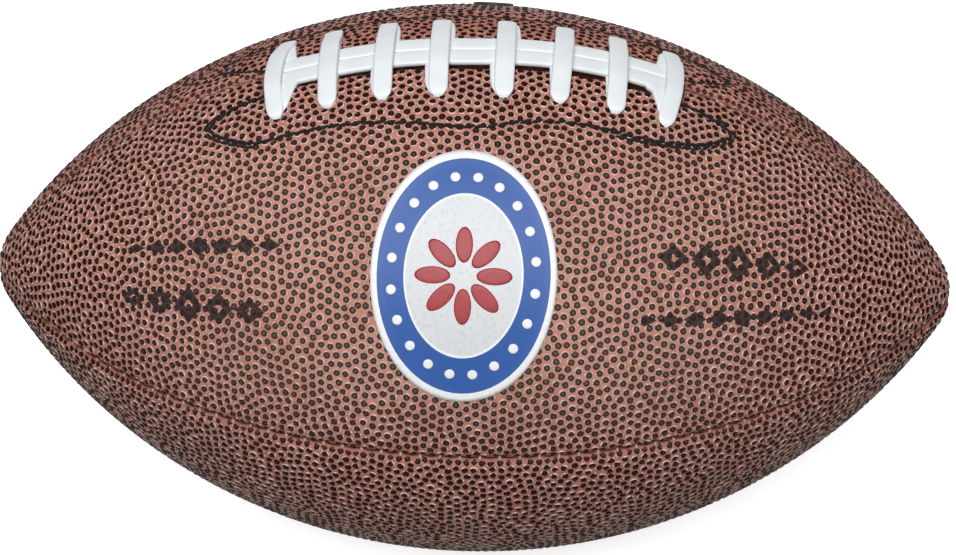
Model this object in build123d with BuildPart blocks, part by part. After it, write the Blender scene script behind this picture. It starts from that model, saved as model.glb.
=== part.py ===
from build123d import *
import math
import os

# Outside of the ball: a long side arc that runs into a round nose at each end
ball_length = 282.0
ball_diameter = 161.0
nose_radius = 16.0

# Layers from the outside in
cover_thickness = 2.0
hem_thickness = 1.3
hem_width = 6.0
layer_gap = 0.1
bladder_gap = 0.3
bladder_wall = 1.0

# The four seams and their thread
seam_gap = 0.3
seam_groove_depth = 1.7
seam_groove_width = 3.0
seam_slot_width = 1.2
seam_slot_top = 0.8
seam_thread_size = 0.9
seam_stitch_diameter = 0.72
seam_stitch_depth = 1.25
seam_stitch_reach = 2.4
seam_stitch_pitch = 5.4
seam_end_margin = 12.0
thread_clearance = 0.05

# The lace: two lengthwise runs under a row of crosses
lace_width = 6.0
lace_end_width = 4.4
lace_thickness = 1.9
lace_crosses = 8
lace_pitch = 15.6
lace_hole_offset = 17.5
lace_clearance = 0.15
lace_hole_clearance = 0.4
lace_taper_length = 4.0
lace_tuck = 5.5
lace_bend_radius = 1.4
lace_shoulder_radius = 3.0
lace_shoulder = 6.0
run_sink = 0.9
run_gap = 0.4
run_turn_radius = 4.0
run_turn_length = 7.0
run_turn_end = 5.0
strap_low_share = 0.62
strap_rise_share = 0.25
slit_width = 2.4
slit_margin = 8.0

# Lace stays under the two upper panels, and the thread that holds them
stay_half_length = 77.0
stay_half_width = 33.5
stay_corner_radius = 14.0
stay_stitch_margin = 3.5
stay_thread_width = 1.0
stay_thread_height = 0.8
stay_leg_diameter = 0.5
stay_stitch_pitch = 5.0
stay_stitch_gap = 0.1
stay_leg_inset = 0.15
stay_needle_clearance = 0.1
stay_stitch_start_gap = 14.0
stay_stitch_start = 6.0
stay_stitch_tip = 7.5
stay_stitch_slant = 5.0
stay_stitch_shoulder = 6.5
stay_tip_radius = 3.5
stay_shoulder_radius = 9.0
stay_middle_radius = 300.0

# Tongue between the lace and the bladder
tongue_half_length = 68.0
tongue_half_width = 22.0
tongue_corner_radius = 10.0
tongue_thickness = 1.0
well_margin = 2.0

# Valve, on the upper back panel
valve_angle = 33.0
valve_shift = 4.0
valve_head_diameter = 12.0
valve_head_rise = 0.8
valve_head_round = 0.6
valve_stem_diameter = 10.0
valve_stem_length = 16.0
valve_flange_diameter = 20.0
valve_flange_thickness = 1.2
valve_clearance = 0.3
valve_patch_diameter = 27.0
valve_patch_thickness = 1.0
plug_diameter = 6.0
plug_head_diameter = 7.6
plug_head_thickness = 1.0
plug_length = 15.0
plug_clearance = 0.05
needle_diameter = 2.2
needle_depth = 9.0
needle_funnel_diameter = 3.4
needle_funnel_depth = 0.8
needle_slit_width = 0.2

# Values that follow from the driving dimensions
half_length = ball_length / 2
half_diameter = ball_diameter / 2
nose_centre = half_length - nose_radius
side_radius = (nose_centre**2 + half_diameter**2 - nose_radius**2) / (2 * (half_diameter - nose_radius))
side_centre = half_diameter - side_radius
nose_turn = math.degrees(math.atan2(-side_centre, nose_centre))
side_turn = 90 - nose_turn
side_axis = Axis((0, 0, side_centre), (0, 1, 0))
beyond = 2 * ball_length
hem_depth = cover_thickness + hem_thickness
lining_depth = cover_thickness + layer_gap
bladder_depth = hem_depth + bladder_gap
run_rise = lace_thickness - run_sink
run_offset = (run_gap + lace_width) / 2
first_turn = -math.degrees(lace_pitch / side_radius) * (lace_crosses - 1) / 2
pitch_turn = math.degrees(lace_pitch / side_radius)
lace_turns = [first_turn + pitch_turn * index for index in range(lace_crosses)]
end_leg_offset = lace_hole_offset + lace_thickness + lace_clearance
slit_turn = -first_turn + math.degrees(slit_margin / side_radius)


def section_radius(turn):
    """Radius of the cover across the top seam, turn degrees along it."""
    return side_radius + side_centre / math.cos(math.radians(turn))


def cover_drop(offset, turn, depth=0.0):
    """How far the surface at depth falls away, offset to the side of the top seam."""
    radius = section_radius(turn) - depth
    return radius - math.sqrt(radius**2 - offset**2)


# Two heights inside the cover at which the lace crosses from hole to hole
stay_drop = cover_drop(lace_hole_offset + lace_thickness / 2, first_turn, hem_depth)
level_one = -hem_depth - stay_drop - lace_clearance - lace_thickness / 2
level_two = level_one - lace_thickness - lace_clearance
tongue_depth = -level_two + lace_thickness / 2 + bladder_gap
well_depth = tongue_depth + tongue_thickness + bladder_gap


def seam_frame(turn, offset=0.0, height=0.0):
    """Plane across the top seam: local x is +Y, local y points out of the ball."""
    lean = math.radians(turn)
    outward = Vector(math.sin(lean), 0, math.cos(lean))
    along = Vector(math.cos(lean), 0, -math.sin(lean))
    origin = Vector(0, offset, side_centre) + outward * (side_radius + height)
    return Plane(origin=origin, x_dir=(0, 1, 0), z_dir=along)


def strap_frame(turn, offset, height):
    """Plane across a strap that runs along Y: local x follows the top seam."""
    frame = seam_frame(turn, offset, height)
    return Plane(origin=frame.origin, x_dir=frame.z_dir, z_dir=(0, 1, 0))


def cover_frame(x, y, tangent):
    """Plane on the upper cover above the plan point (x, y), local x along a plan direction."""
    ring_radius = math.sqrt(side_radius**2 - x**2) + side_centre
    z = math.sqrt(ring_radius**2 - y**2)
    spread = (ring_radius - side_centre) / ring_radius
    outward = Vector(x, y * spread, z * spread).normalized()
    rise = -(outward.X * tangent.X + outward.Y * tangent.Y) / outward.Z
    return Plane(origin=(x, y, z), x_dir=(tangent.X, tangent.Y, rise), z_dir=outward)


def ball_solid(depth):
    """The whole ball, with its surface drawn in by depth."""
    with BuildPart() as ball:
        with BuildSketch(Plane.XZ):
            with BuildLine():
                CenterArc((nose_centre, 0), nose_radius - depth, 0, nose_turn)
                CenterArc((0, side_centre), side_radius - depth, nose_turn, 2 * side_turn)
                CenterArc((-nose_centre, 0), nose_radius - depth, 180 - nose_turn, nose_turn)
                Line((depth - half_length, 0), (half_length - depth, 0))
            make_face()
        revolve(axis=Axis.X)
    return ball.part


def ball_layer(outer_depth, inner_depth):
    """Closed layer of the ball between two depths."""
    inside = ball_solid(inner_depth)
    outside = ball_solid(outer_depth)
    with BuildPart() as layer:
        add(outside)
        add(inside, mode=Mode.SUBTRACT)
    return layer.part


def quarter_block(y_side, z_side, margin):
    """Block over one quarter of the ball, margin away from the two seam planes."""
    middle = margin + beyond / 2
    with BuildPart() as block:
        with Locations((0, y_side * middle, z_side * middle)):
            Box(beyond, beyond, beyond)
    return block.part


# Groove where the edges of two panels turn in, along the whole top seam
groove_margin = 1.0
groove_slope = (seam_groove_width - seam_slot_width) / 2 / seam_slot_top
groove_half = seam_groove_width / 2 + groove_slope * groove_margin
with BuildPart() as seam_groove:
    for start, turn, pivot in (
        (-side_turn, 2 * side_turn, (0, 0, side_centre)),
        (side_turn, nose_turn, (nose_centre, 0, 0)),
        (-side_turn, -nose_turn, (-nose_centre, 0, 0)),
    ):
        with BuildSketch(seam_frame(start)):
            with BuildLine():
                Polyline(
                    (-groove_half, groove_margin),
                    (groove_half, groove_margin),
                    (seam_slot_width / 2, -seam_slot_top),
                    (seam_slot_width / 2, -seam_groove_depth),
                    (-seam_slot_width / 2, -seam_groove_depth),
                    (-seam_slot_width / 2, -seam_slot_top),
                    close=True,
                )
            make_face()
        revolve(axis=Axis(pivot, (0, 1, 0)), revolution_arc=turn)


def seam_stitches(start, end, grow=0.0):
    """Thread of one stretch of the top seam: two buried runs with a stitch across at each pitch."""
    count = max(2, int(math.radians(end - start) * side_radius / seam_stitch_pitch))
    turns = [start + (end - start) * (index + 0.5) / count for index in range(count)]
    spare = math.degrees(grow / side_radius)
    with BuildPart() as thread:
        with BuildSketch(seam_frame(start - spare)):
            with Locations((-seam_stitch_reach, -seam_stitch_depth), (seam_stitch_reach, -seam_stitch_depth)):
                Rectangle(seam_thread_size + 2 * grow, seam_thread_size + 2 * grow)
        revolve(axis=side_axis, revolution_arc=end - start + 2 * spare)
        with Locations(*[strap_frame(turn, 0, -seam_stitch_depth) for turn in turns]):
            Cylinder(seam_stitch_diameter / 2 + grow, 2 * seam_stitch_reach)
    return thread.part


seam_end = side_turn - math.degrees(seam_end_margin / side_radius)
seam_slit_end = slit_turn + math.degrees(seam_stitch_pitch / side_radius)
long_thread = seam_stitches(-seam_end, seam_end)
long_channel = seam_stitches(-seam_end, seam_end, thread_clearance)
end_thread = seam_stitches(-seam_end, -seam_slit_end)
end_channel = seam_stitches(-seam_end, -seam_slit_end, thread_clearance)

whole_ball = ball_solid(0)
hem_inside = ball_solid(hem_depth)
cover_inside = ball_solid(cover_thickness)
lining_layer = ball_layer(lining_depth, hem_depth)


def seam_angle(side, vertical):
    """Turn about X that carries the top seam to the seam on one side of a quarter."""
    if vertical:
        return 0 if side > 0 else 180
    return 270 if side > 0 else 90


def plain_panel(y_side, z_side):
    """Quarter of the cover: a leather shell whose edges are turned in along its seams."""
    quarter = quarter_block(y_side, z_side, seam_gap / 2)
    field = quarter_block(y_side, z_side, hem_width)
    with BuildPart() as hollow:
        add(cover_inside)
        add(field, mode=Mode.INTERSECT)
    with BuildPart() as panel:
        add(whole_ball)
        add(hem_inside, mode=Mode.SUBTRACT)
        add(quarter, mode=Mode.INTERSECT)
        add(hollow.part, mode=Mode.SUBTRACT)
        for angle in (seam_angle(z_side, True), seam_angle(y_side, False)):
            add(seam_groove.part.rotate(Axis.X, angle), mode=Mode.SUBTRACT)
            if angle:
                add(long_channel.rotate(Axis.X, angle), mode=Mode.SUBTRACT)
    return panel.part


def lining_quarter(y_side, z_side):
    """Woven lining that fills the frame of hems behind one panel."""
    field = quarter_block(y_side, z_side, hem_width + layer_gap)
    with BuildPart() as lining:
        add(lining_layer)
        add(field, mode=Mode.INTERSECT)
    return lining.part


def plan_prism(face):
    """Column over a plan outline, from the ball's axis up past its top."""
    with BuildPart() as column:
        with BuildSketch():
            add(face)
        extrude(amount=beyond)
    return column.part


def run_path(side):
    """Plan line of one lengthwise run: along the slit, then out to the hole at each end."""
    end_x = side_radius * math.sin(math.radians(lace_turns[-1]))
    bend_y = lace_hole_offset - run_turn_end
    tip_y = lace_hole_offset + lace_thickness / 2
    half = [(end_x, tip_y), (end_x, bend_y), (end_x - run_turn_length, run_offset)]
    points = [(x, side * y) for x, y in half]
    mirrored = [(-x, y) for x, y in reversed(points)]
    with BuildLine() as line:
        FilletPolyline(*points, *mirrored, radius=run_turn_radius)
    return line.line


def run_plan(side, width):
    """Plan outline of one lengthwise run."""
    path = run_path(side)
    with BuildSketch() as plan:
        trace(path, line_width=width)
    return plan.sketch


run_layer = ball_layer(-run_rise, run_sink)
trough_layer = ball_layer(-lace_thickness, run_sink + lace_clearance)


def lace_run(side, width, layer):
    """Band that follows the cover along the slit and out to the end holes."""
    column = plan_prism(run_plan(side, width))
    with BuildPart() as band:
        add(layer)
        add(column, mode=Mode.INTERSECT)
    return band.part


def lace_strap(turn, path, width):
    """Flat strap that follows a line drawn across the top seam."""
    with BuildPart() as strap:
        with BuildSketch(seam_frame(turn)):
            trace(path, line_width=lace_thickness)
        extrude(amount=width / 2, both=True)
    return strap.part


def lace_cross(turn, leg_offset, lift, level):
    """One cross: up through a hole, over the two runs and down through the other hole."""
    rest = lift + lace_clearance + lace_thickness / 2
    top = run_rise + lace_clearance + lace_thickness / 2
    top_y = lace_width + run_gap / 2 + lace_clearance * 2
    foot_y = top_y + lace_shoulder
    half = [
        (leg_offset - lace_tuck, level),
        (leg_offset, level),
        (leg_offset, rest - cover_drop(leg_offset, turn)),
        (foot_y, rest - cover_drop(foot_y, turn)),
        (top_y, top),
    ]
    radii = [lace_bend_radius, lace_bend_radius, lace_shoulder_radius, lace_shoulder_radius]
    if lift > 0:
        half.pop(3)
        radii.pop(2)
    mirrored = [(-y, height) for y, height in reversed(half)]
    with BuildLine() as line:
        FilletPolyline(*half, *mirrored, radius=radii + radii[::-1])
    strap = lace_strap(turn, line.line, lace_width)
    taper_end = leg_offset - lace_thickness / 2
    taper_start = taper_end - lace_taper_length
    reach = leg_offset + lace_thickness
    corner = [(lace_width / 2, taper_start), (lace_end_width / 2, taper_end), (lace_end_width / 2, reach)]
    frame = seam_frame(turn, 0, level - lace_thickness)
    plan = Plane(origin=frame.origin, x_dir=frame.z_dir, z_dir=frame.y_dir)
    with BuildPart() as cross:
        with BuildSketch(plan):
            with BuildLine():
                Polyline(
                    *corner,
                    *[(-x, y) for x, y in reversed(corner)],
                    *[(-x, -y) for x, y in corner],
                    *[(x, -y) for x, y in reversed(corner)],
                    close=True,
                )
            make_face()
        extrude(amount=2 * well_depth)
        add(strap, mode=Mode.INTERSECT)
    return cross.part


def run_leg(turn, side):
    """End of a lengthwise run, down through its hole and turned in below the stay."""
    top = run_rise / 2 - cover_drop(lace_hole_offset, turn)
    with BuildLine() as line:
        FilletPolyline(
            (side * (lace_hole_offset - lace_tuck), level_one),
            (side * lace_hole_offset, level_one),
            (side * lace_hole_offset, top),
            radius=lace_bend_radius,
        )
    return lace_strap(turn, line.line, lace_width)


def inner_strap(stations):
    """Lace inside the cover, through sections given as turn, offset and height."""
    with BuildPart() as strap:
        for turn, offset, height in stations:
            with BuildSketch(strap_frame(turn, offset, height)):
                Rectangle(lace_width, lace_thickness)
        loft(ruled=True)
    return strap.part


tuck_end = lace_hole_offset - lace_tuck
end_tuck = end_leg_offset - lace_tuck
lace_pieces = []
for index, turn in enumerate(lace_turns):
    at_end = index in (0, lace_crosses - 1)
    offset = end_leg_offset if at_end else lace_hole_offset
    lift = run_rise if at_end else 0.0
    lace_pieces.append(lace_cross(turn, offset, lift, level_two if at_end else level_one))
for side in (-1, 1):
    lace_pieces.append(lace_run(side, lace_width, run_layer))
    lace_pieces.append(run_leg(lace_turns[0], side))
    lace_pieces.append(run_leg(lace_turns[-1], side))


def slanting_strap(start, end, shares):
    """Lace inside from one cross to the next, with a change of height between two shares of its length."""
    bends = []
    for share, height in zip(shares, (start[2], end[2])):
        turn = start[0] + share * (end[0] - start[0])
        offset = start[1] + share * (end[1] - start[1])
        bends.append((turn, offset, height))
    return inner_strap([start, *bends, end])


# Inside, each cross leads on to the next one, and the end crosses go below the ends of the runs
for index in range(1, lace_crosses - 2):
    start = (lace_turns[index], tuck_end, level_one)
    end = (lace_turns[index + 1], -tuck_end, level_one)
    lace_pieces.append(inner_strap([start, end]))
low_shares = (strap_low_share, strap_low_share + strap_rise_share)
high_shares = (1 - low_shares[1], 1 - low_shares[0])
first_end = (lace_turns[0], end_tuck, level_two)
second_start = (lace_turns[1], -tuck_end, level_one)
lace_pieces.append(slanting_strap(first_end, second_start, low_shares))
before_last = (lace_turns[-2], tuck_end, level_one)
last_start = (lace_turns[-1], -end_tuck, level_two)
lace_pieces.append(slanting_strap(before_last, last_start, high_shares))
last_end = (lace_turns[-1], end_tuck, level_two)
front_run_end = (lace_turns[-1], -tuck_end, level_one)
lace_pieces.append(slanting_strap(last_end, front_run_end, (strap_rise_share, strap_low_share)))
lace_pieces.append(inner_strap([(lace_turns[0], -tuck_end, level_one), (lace_turns[0], tuck_end, level_one)]))
with BuildPart() as lace:
    for piece in lace_pieces:
        add(piece)


def lace_holes(grow):
    """Column for each lace hole, through the cover and the stay."""
    with BuildPart() as holes:
        for index, turn in enumerate(lace_turns):
            at_end = index in (0, lace_crosses - 1)
            inner = lace_hole_offset - lace_thickness / 2 - grow
            outer = (end_leg_offset if at_end else lace_hole_offset) + lace_thickness / 2 + grow
            width = (lace_width if at_end else lace_end_width) + 2 * grow
            frame = seam_frame(turn, 0, level_two)
            plan = Plane(origin=frame.origin, x_dir=frame.z_dir, z_dir=frame.y_dir)
            with BuildSketch(plan):
                with Locations((0, (inner + outer) / 2), (0, -(inner + outer) / 2)):
                    RectangleRounded(width, outer - inner, lace_thickness / 2)
            extrude(amount=well_depth)
    return holes.part


def stay_plan(side, grow):
    """Plan outline of one lace stay, from the slit outwards."""
    inner = slit_width / 2 - grow
    outer = stay_half_width + grow
    with BuildSketch() as plan:
        with Locations((0, side * (inner + outer) / 2)):
            Rectangle(2 * (stay_half_length + grow), outer - inner)
        outer_corners = plan.vertices().sort_by(Axis.Y)[-2:] if side > 0 else plan.vertices().sort_by(Axis.Y)[:2]
        fillet(outer_corners, radius=stay_corner_radius)
    return plan.sketch


def stay_stitch_points(side):
    """Plan points where the needle goes down, along the line that holds one lace stay."""
    tip_x = stay_half_length - stay_stitch_margin
    middle_y = stay_half_width - stay_stitch_margin
    half = [
        (tip_x - stay_stitch_start_gap, stay_stitch_start),
        (tip_x, stay_stitch_tip),
        (tip_x - stay_stitch_slant, middle_y - stay_stitch_shoulder),
    ]
    points = [(x, side * y) for x, y in half]
    mirrored = [(-x, y) for x, y in reversed(points)]
    corner_radii = [stay_tip_radius, stay_shoulder_radius]
    with BuildLine() as line:
        FilletPolyline(
            *points,
            (0, side * middle_y),
            *mirrored,
            radius=corner_radii + [stay_middle_radius] + corner_radii[::-1],
        )
    path = line.wire()
    count = int(path.length / stay_stitch_pitch)
    return [path @ (index / count) for index in range(count + 1)]


def stay_stitches(points):
    """Black thread: each stitch lies on the cover, with a leg down a needle hole at both ends."""
    leg_top = thread_clearance + stay_thread_height / 2
    leg_bottom = -hem_depth - layer_gap
    leg_step = stay_stitch_gap + stay_leg_inset + stay_leg_diameter / 2
    with BuildPart() as stitches:
        for start, end in zip(points, points[1:]):
            middle = (start + end) / 2
            with BuildSketch(cover_frame(middle.X, middle.Y, end - start).offset(thread_clearance)):
                SlotOverall((end - start).length - 2 * stay_stitch_gap, stay_thread_width)
        extrude(amount=stay_thread_height)
        for start, end in zip(points, points[1:]):
            for hole, step in ((start, leg_step), (end, -leg_step)):
                with BuildSketch(cover_frame(hole.X, hole.Y, end - start).offset(leg_top)):
                    with Locations((step, 0)):
                        Circle(stay_leg_diameter / 2)
        extrude(amount=leg_bottom - leg_top)
    return stitches.part


def stay_needle_holes(points):
    """Needle holes of the stay stitching, each wide enough for the legs of two stitches."""
    radius = stay_leg_diameter + stay_leg_inset + stay_stitch_gap + stay_needle_clearance
    with BuildPart() as holes:
        with Locations(*[cover_frame(point.X, point.Y, Vector(1, 0, 0)) for point in points]):
            Cylinder(radius, 4 * hem_depth)
    return holes.part


# Valve axis: up out of the upper back panel
valve_lean = valve_shift / side_radius
valve_side = math.radians(valve_angle)
valve_ring = side_radius * math.cos(valve_lean) + side_centre
valve_frame = Plane(
    origin=(side_radius * math.sin(valve_lean), valve_ring * math.sin(valve_side), valve_ring * math.cos(valve_side)),
    x_dir=(math.cos(valve_lean), 0, -math.sin(valve_lean)),
    z_dir=(
        math.sin(valve_lean),
        math.cos(valve_lean) * math.sin(valve_side),
        math.cos(valve_lean) * math.cos(valve_side),
    ),
)


def valve_column(diameter, bottom, top):
    """Round column on the valve's axis between two heights over the cover."""
    with BuildPart() as column:
        with BuildSketch(valve_frame.offset(bottom)):
            Circle(diameter / 2)
        extrude(amount=top - bottom)
    return column.part


holes_for_lace = lace_holes(lace_hole_clearance)
troughs = [lace_run(side, lace_width + 2 * lace_clearance, trough_layer) for side in (-1, 1)]
slit_half_length = side_radius * math.sin(math.radians(slit_turn))
valve_hole = valve_column(valve_head_diameter + 2 * valve_clearance, -2 * hem_depth, 2 * hem_depth)


def upper_panel(side, points):
    """Upper panel: open along the slit, with lace holes and room for the lace stay behind it."""
    plain = plain_panel(side, 1)
    needle_holes = stay_needle_holes(points)
    stay_column = plan_prism(stay_plan(side, layer_gap))
    with BuildPart() as stay_room:
        add(cover_inside)
        add(stay_column, mode=Mode.INTERSECT)
    with BuildPart() as panel:
        add(plain)
        add(stay_room.part, mode=Mode.SUBTRACT)
        with Locations((0, 0, half_diameter)):
            Box(2 * slit_half_length, slit_width, ball_diameter, mode=Mode.SUBTRACT)
        for trough in troughs:
            add(trough, mode=Mode.SUBTRACT)
        add(holes_for_lace, mode=Mode.SUBTRACT)
        add(needle_holes, mode=Mode.SUBTRACT)
        add(end_channel, mode=Mode.SUBTRACT)
        add(end_channel.mirror(Plane.YZ), mode=Mode.SUBTRACT)
        if side > 0:
            add(valve_hole, mode=Mode.SUBTRACT)
    return panel.part


def upper_lining(side):
    """Lining of an upper panel, cut out round the lace stay and the valve."""
    plain = lining_quarter(side, 1)
    stay_column = plan_prism(stay_plan(side, 2 * layer_gap))
    with BuildPart() as lining:
        add(plain)
        add(stay_column, mode=Mode.SUBTRACT)
        if side > 0:
            add(valve_hole, mode=Mode.SUBTRACT)
    return lining.part


def lace_stay(side, points):
    """Reinforcing strip under the lace holes of one upper panel."""
    column = plan_prism(stay_plan(side, 0))
    needle_holes = stay_needle_holes(points)
    with BuildPart() as stay:
        add(lining_layer)
        add(column, mode=Mode.INTERSECT)
        add(holes_for_lace, mode=Mode.SUBTRACT)
        add(needle_holes, mode=Mode.SUBTRACT)
    return stay.part


def tongue_plan(grow):
    """Plan outline of the tongue."""
    with BuildSketch() as plan:
        RectangleRounded(
            2 * (tongue_half_length + grow), 2 * (tongue_half_width + grow), tongue_corner_radius + grow
        )
    return plan.sketch


def bladder_form(depth, grow):
    """Solid inside a bladder surface, with the well that leaves room for the tongue and the lace."""
    form = ball_solid(depth)
    floor = ball_solid(well_depth + grow)
    column = plan_prism(tongue_plan(well_margin + grow))
    with BuildPart() as well:
        add(column)
        add(floor, mode=Mode.SUBTRACT)
    with BuildPart() as solid:
        add(form)
        add(well.part, mode=Mode.SUBTRACT)
    return solid.part


bladder_outside = bladder_form(bladder_depth, 0)
bladder_inside = bladder_form(bladder_depth + bladder_wall, bladder_wall)
stem_hole = valve_column(valve_stem_diameter + 2 * layer_gap, -valve_stem_length, valve_head_rise)
with BuildPart() as bladder:
    add(bladder_outside)
    add(bladder_inside, mode=Mode.SUBTRACT)
    add(stem_hole, mode=Mode.SUBTRACT)

tongue_layer = ball_layer(tongue_depth, tongue_depth + tongue_thickness)
tongue_column = plan_prism(tongue_plan(0))
with BuildPart() as tongue:
    add(tongue_layer)
    add(tongue_column, mode=Mode.INTERSECT)

# Valve: a rubber housing bonded inside the bladder, a patch ring behind its flange, and the plug
flange_depth = bladder_depth + bladder_wall + layer_gap
patch_depth = flange_depth + valve_flange_thickness + layer_gap
flange_layer = ball_layer(flange_depth, flange_depth + valve_flange_thickness)
flange_column = valve_column(valve_flange_diameter, -valve_stem_length, 0)
with BuildPart() as valve_flange:
    add(flange_layer)
    add(flange_column, mode=Mode.INTERSECT)
valve_head = valve_column(valve_head_diameter, -hem_depth, valve_head_rise)
valve_stem = valve_column(valve_stem_diameter, -valve_stem_length, 0)
plug_bore = valve_column(plug_diameter + 2 * plug_clearance, -2 * valve_stem_length, 2 * valve_head_rise)
plug_seat_bottom = valve_head_rise - plug_head_thickness - plug_clearance
plug_seat = valve_column(plug_head_diameter + 2 * plug_clearance, plug_seat_bottom, 2 * valve_head_rise)
with BuildPart() as valve_housing:
    add(valve_head)
    rim = valve_housing.edges().filter_by(GeomType.CIRCLE).sort_by(Axis(valve_frame.origin, valve_frame.z_dir))[-1]
    fillet(rim, radius=valve_head_round)
    add(valve_stem)
    add(valve_flange.part)
    add(plug_seat, mode=Mode.SUBTRACT)
    add(plug_bore, mode=Mode.SUBTRACT)

patch_layer = ball_layer(patch_depth, patch_depth + valve_patch_thickness)
patch_column = valve_column(valve_patch_diameter, -valve_stem_length, 0)
with BuildPart() as valve_patch:
    add(patch_layer)
    add(patch_column, mode=Mode.INTERSECT)
    add(stem_hole, mode=Mode.SUBTRACT)

needle_top = valve_head_rise - needle_funnel_depth
needle_bottom = needle_top - needle_depth
plug_bottom = valve_head_rise - plug_length
plug_head = valve_column(plug_head_diameter, valve_head_rise - plug_head_thickness, valve_head_rise)
plug_stem = valve_column(plug_diameter, plug_bottom, 0)
needle_bore = valve_column(needle_diameter, needle_bottom, valve_head_rise)
with BuildPart() as valve_plug:
    add(plug_head)
    add(plug_stem)
    add(needle_bore, mode=Mode.SUBTRACT)
    with BuildSketch(valve_frame.offset(needle_top)):
        Circle(needle_diameter / 2)
    with BuildSketch(valve_frame.offset(valve_head_rise)):
        Circle(needle_funnel_diameter / 2)
    loft(mode=Mode.SUBTRACT)
    with BuildSketch(valve_frame.offset(plug_bottom)):
        Rectangle(needle_diameter, needle_slit_width)
    extrude(amount=needle_bottom - plug_bottom, mode=Mode.SUBTRACT)

front_points = stay_stitch_points(-1)
back_points = stay_stitch_points(1)
with BuildPart() as seam_thread_top:
    add(end_thread)
    add(end_thread.mirror(Plane.YZ))

pieces = {
    "panel_top_front": upper_panel(-1, front_points),
    "panel_top_back": upper_panel(1, back_points),
    "panel_bottom_front": plain_panel(-1, -1),
    "panel_bottom_back": plain_panel(1, -1),
    "lining_top_front": upper_lining(-1),
    "lining_top_back": upper_lining(1),
    "lining_bottom_front": lining_quarter(-1, -1),
    "lining_bottom_back": lining_quarter(1, -1),
    "lace_stay_front": lace_stay(-1, front_points),
    "lace_stay_back": lace_stay(1, back_points),
    "stay_stitching_front": stay_stitches(front_points),
    "stay_stitching_back": stay_stitches(back_points),
    "lace": lace.part,
    "tongue": tongue.part,
    "bladder": bladder.part,
    "valve_housing": valve_housing.part,
    "valve_patch": valve_patch.part,
    "valve_plug": valve_plug.part,
    "seam_thread_top": seam_thread_top.part,
    "seam_thread_front": long_thread.rotate(Axis.X, seam_angle(-1, False)),
    "seam_thread_back": long_thread.rotate(Axis.X, seam_angle(1, False)),
    "seam_thread_bottom": long_thread.rotate(Axis.X, seam_angle(-1, True)),
}

os.makedirs("parts", exist_ok=True)
for name, piece in pieces.items():
    piece.label = name
    export_step(piece, f"parts/{name}.step")
    print(name, len(piece.solids()), round(piece.volume, 1))
print("needle bore middle", valve_frame.offset((needle_top + needle_bottom) / 2).origin, valve_frame.z_dir)
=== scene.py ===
# %% [markdown]
# This lesson dresses an american football. The frame holds the real pieces: four cover panels, a lace,
# stitching, seams, a valve and all that lies inside. Here each outer piece gets the surface that a hand
# would feel: pebbled leather, a smooth white lace, twisted thread and soft black rubber.

# %% Load the frame
import math

import bmesh
import bpy
import numpy as np
from mathutils import Matrix, Quaternion, Vector, geometry, kdtree


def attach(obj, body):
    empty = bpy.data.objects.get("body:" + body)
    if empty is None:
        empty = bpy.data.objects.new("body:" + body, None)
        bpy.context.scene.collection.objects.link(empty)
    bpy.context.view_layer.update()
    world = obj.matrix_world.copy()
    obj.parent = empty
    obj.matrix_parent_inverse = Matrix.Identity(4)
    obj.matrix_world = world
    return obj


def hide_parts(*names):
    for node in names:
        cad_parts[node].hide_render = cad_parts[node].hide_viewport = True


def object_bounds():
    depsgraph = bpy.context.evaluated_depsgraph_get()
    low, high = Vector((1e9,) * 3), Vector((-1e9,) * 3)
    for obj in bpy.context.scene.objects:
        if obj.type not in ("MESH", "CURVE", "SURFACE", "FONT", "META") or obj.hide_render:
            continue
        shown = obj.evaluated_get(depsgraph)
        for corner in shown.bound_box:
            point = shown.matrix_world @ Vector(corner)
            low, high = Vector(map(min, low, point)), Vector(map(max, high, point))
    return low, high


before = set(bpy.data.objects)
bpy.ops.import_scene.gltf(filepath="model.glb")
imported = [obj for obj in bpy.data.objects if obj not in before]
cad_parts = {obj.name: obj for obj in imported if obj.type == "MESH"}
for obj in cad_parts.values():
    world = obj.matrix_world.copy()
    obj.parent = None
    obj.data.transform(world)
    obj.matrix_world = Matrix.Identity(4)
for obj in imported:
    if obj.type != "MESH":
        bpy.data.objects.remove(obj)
cad_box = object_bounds()
scene = bpy.context.scene
scene.view_settings.view_transform = "Standard"
MM = 0.001
print("nodes in the frame:", len(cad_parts))

# %% [markdown]
# The ball is a body of revolution: one long side arc that runs smoothly into a small round nose at each
# end. Everything on it can then be placed by two numbers, a station along the ball and an angle round
# it, with a lift above the cover. Working in those numbers is easier than in x, y and z.

# %% The ball's form
BALL_LENGTH = 282 * MM
BALL_DIAMETER = 161 * MM
NOSE_RADIUS = 16 * MM
BELLY = BALL_DIAMETER / 2
NOSE_CENTRE = BALL_LENGTH / 2 - NOSE_RADIUS
SIDE_RADIUS = (NOSE_CENTRE**2 + BELLY**2 - NOSE_RADIUS**2) / (2 * (BELLY - NOSE_RADIUS))
SIDE_CENTRE = BELLY - SIDE_RADIUS
SIDE_TURN = math.atan2(NOSE_CENTRE, -SIDE_CENTRE)
SIDE_ARC = SIDE_RADIUS * SIDE_TURN
END_ARC = SIDE_ARC + NOSE_RADIUS * (math.pi / 2 - SIDE_TURN)


def profile(station):
    """Distance along the axis, radius and turn of the cover at a station."""
    station = np.asarray(station, dtype=float)
    far = np.abs(station)
    on_side = far <= SIDE_ARC
    turn = np.where(on_side, far / SIDE_RADIUS, SIDE_TURN + (far - SIDE_ARC) / NOSE_RADIUS)
    along = np.where(on_side, SIDE_RADIUS * np.sin(turn), NOSE_CENTRE + NOSE_RADIUS * np.sin(turn))
    radius = np.where(on_side, SIDE_RADIUS * np.cos(turn) + SIDE_CENTRE, NOSE_RADIUS * np.cos(turn))
    return np.sign(station) * along, radius, np.sign(station) * turn


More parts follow.
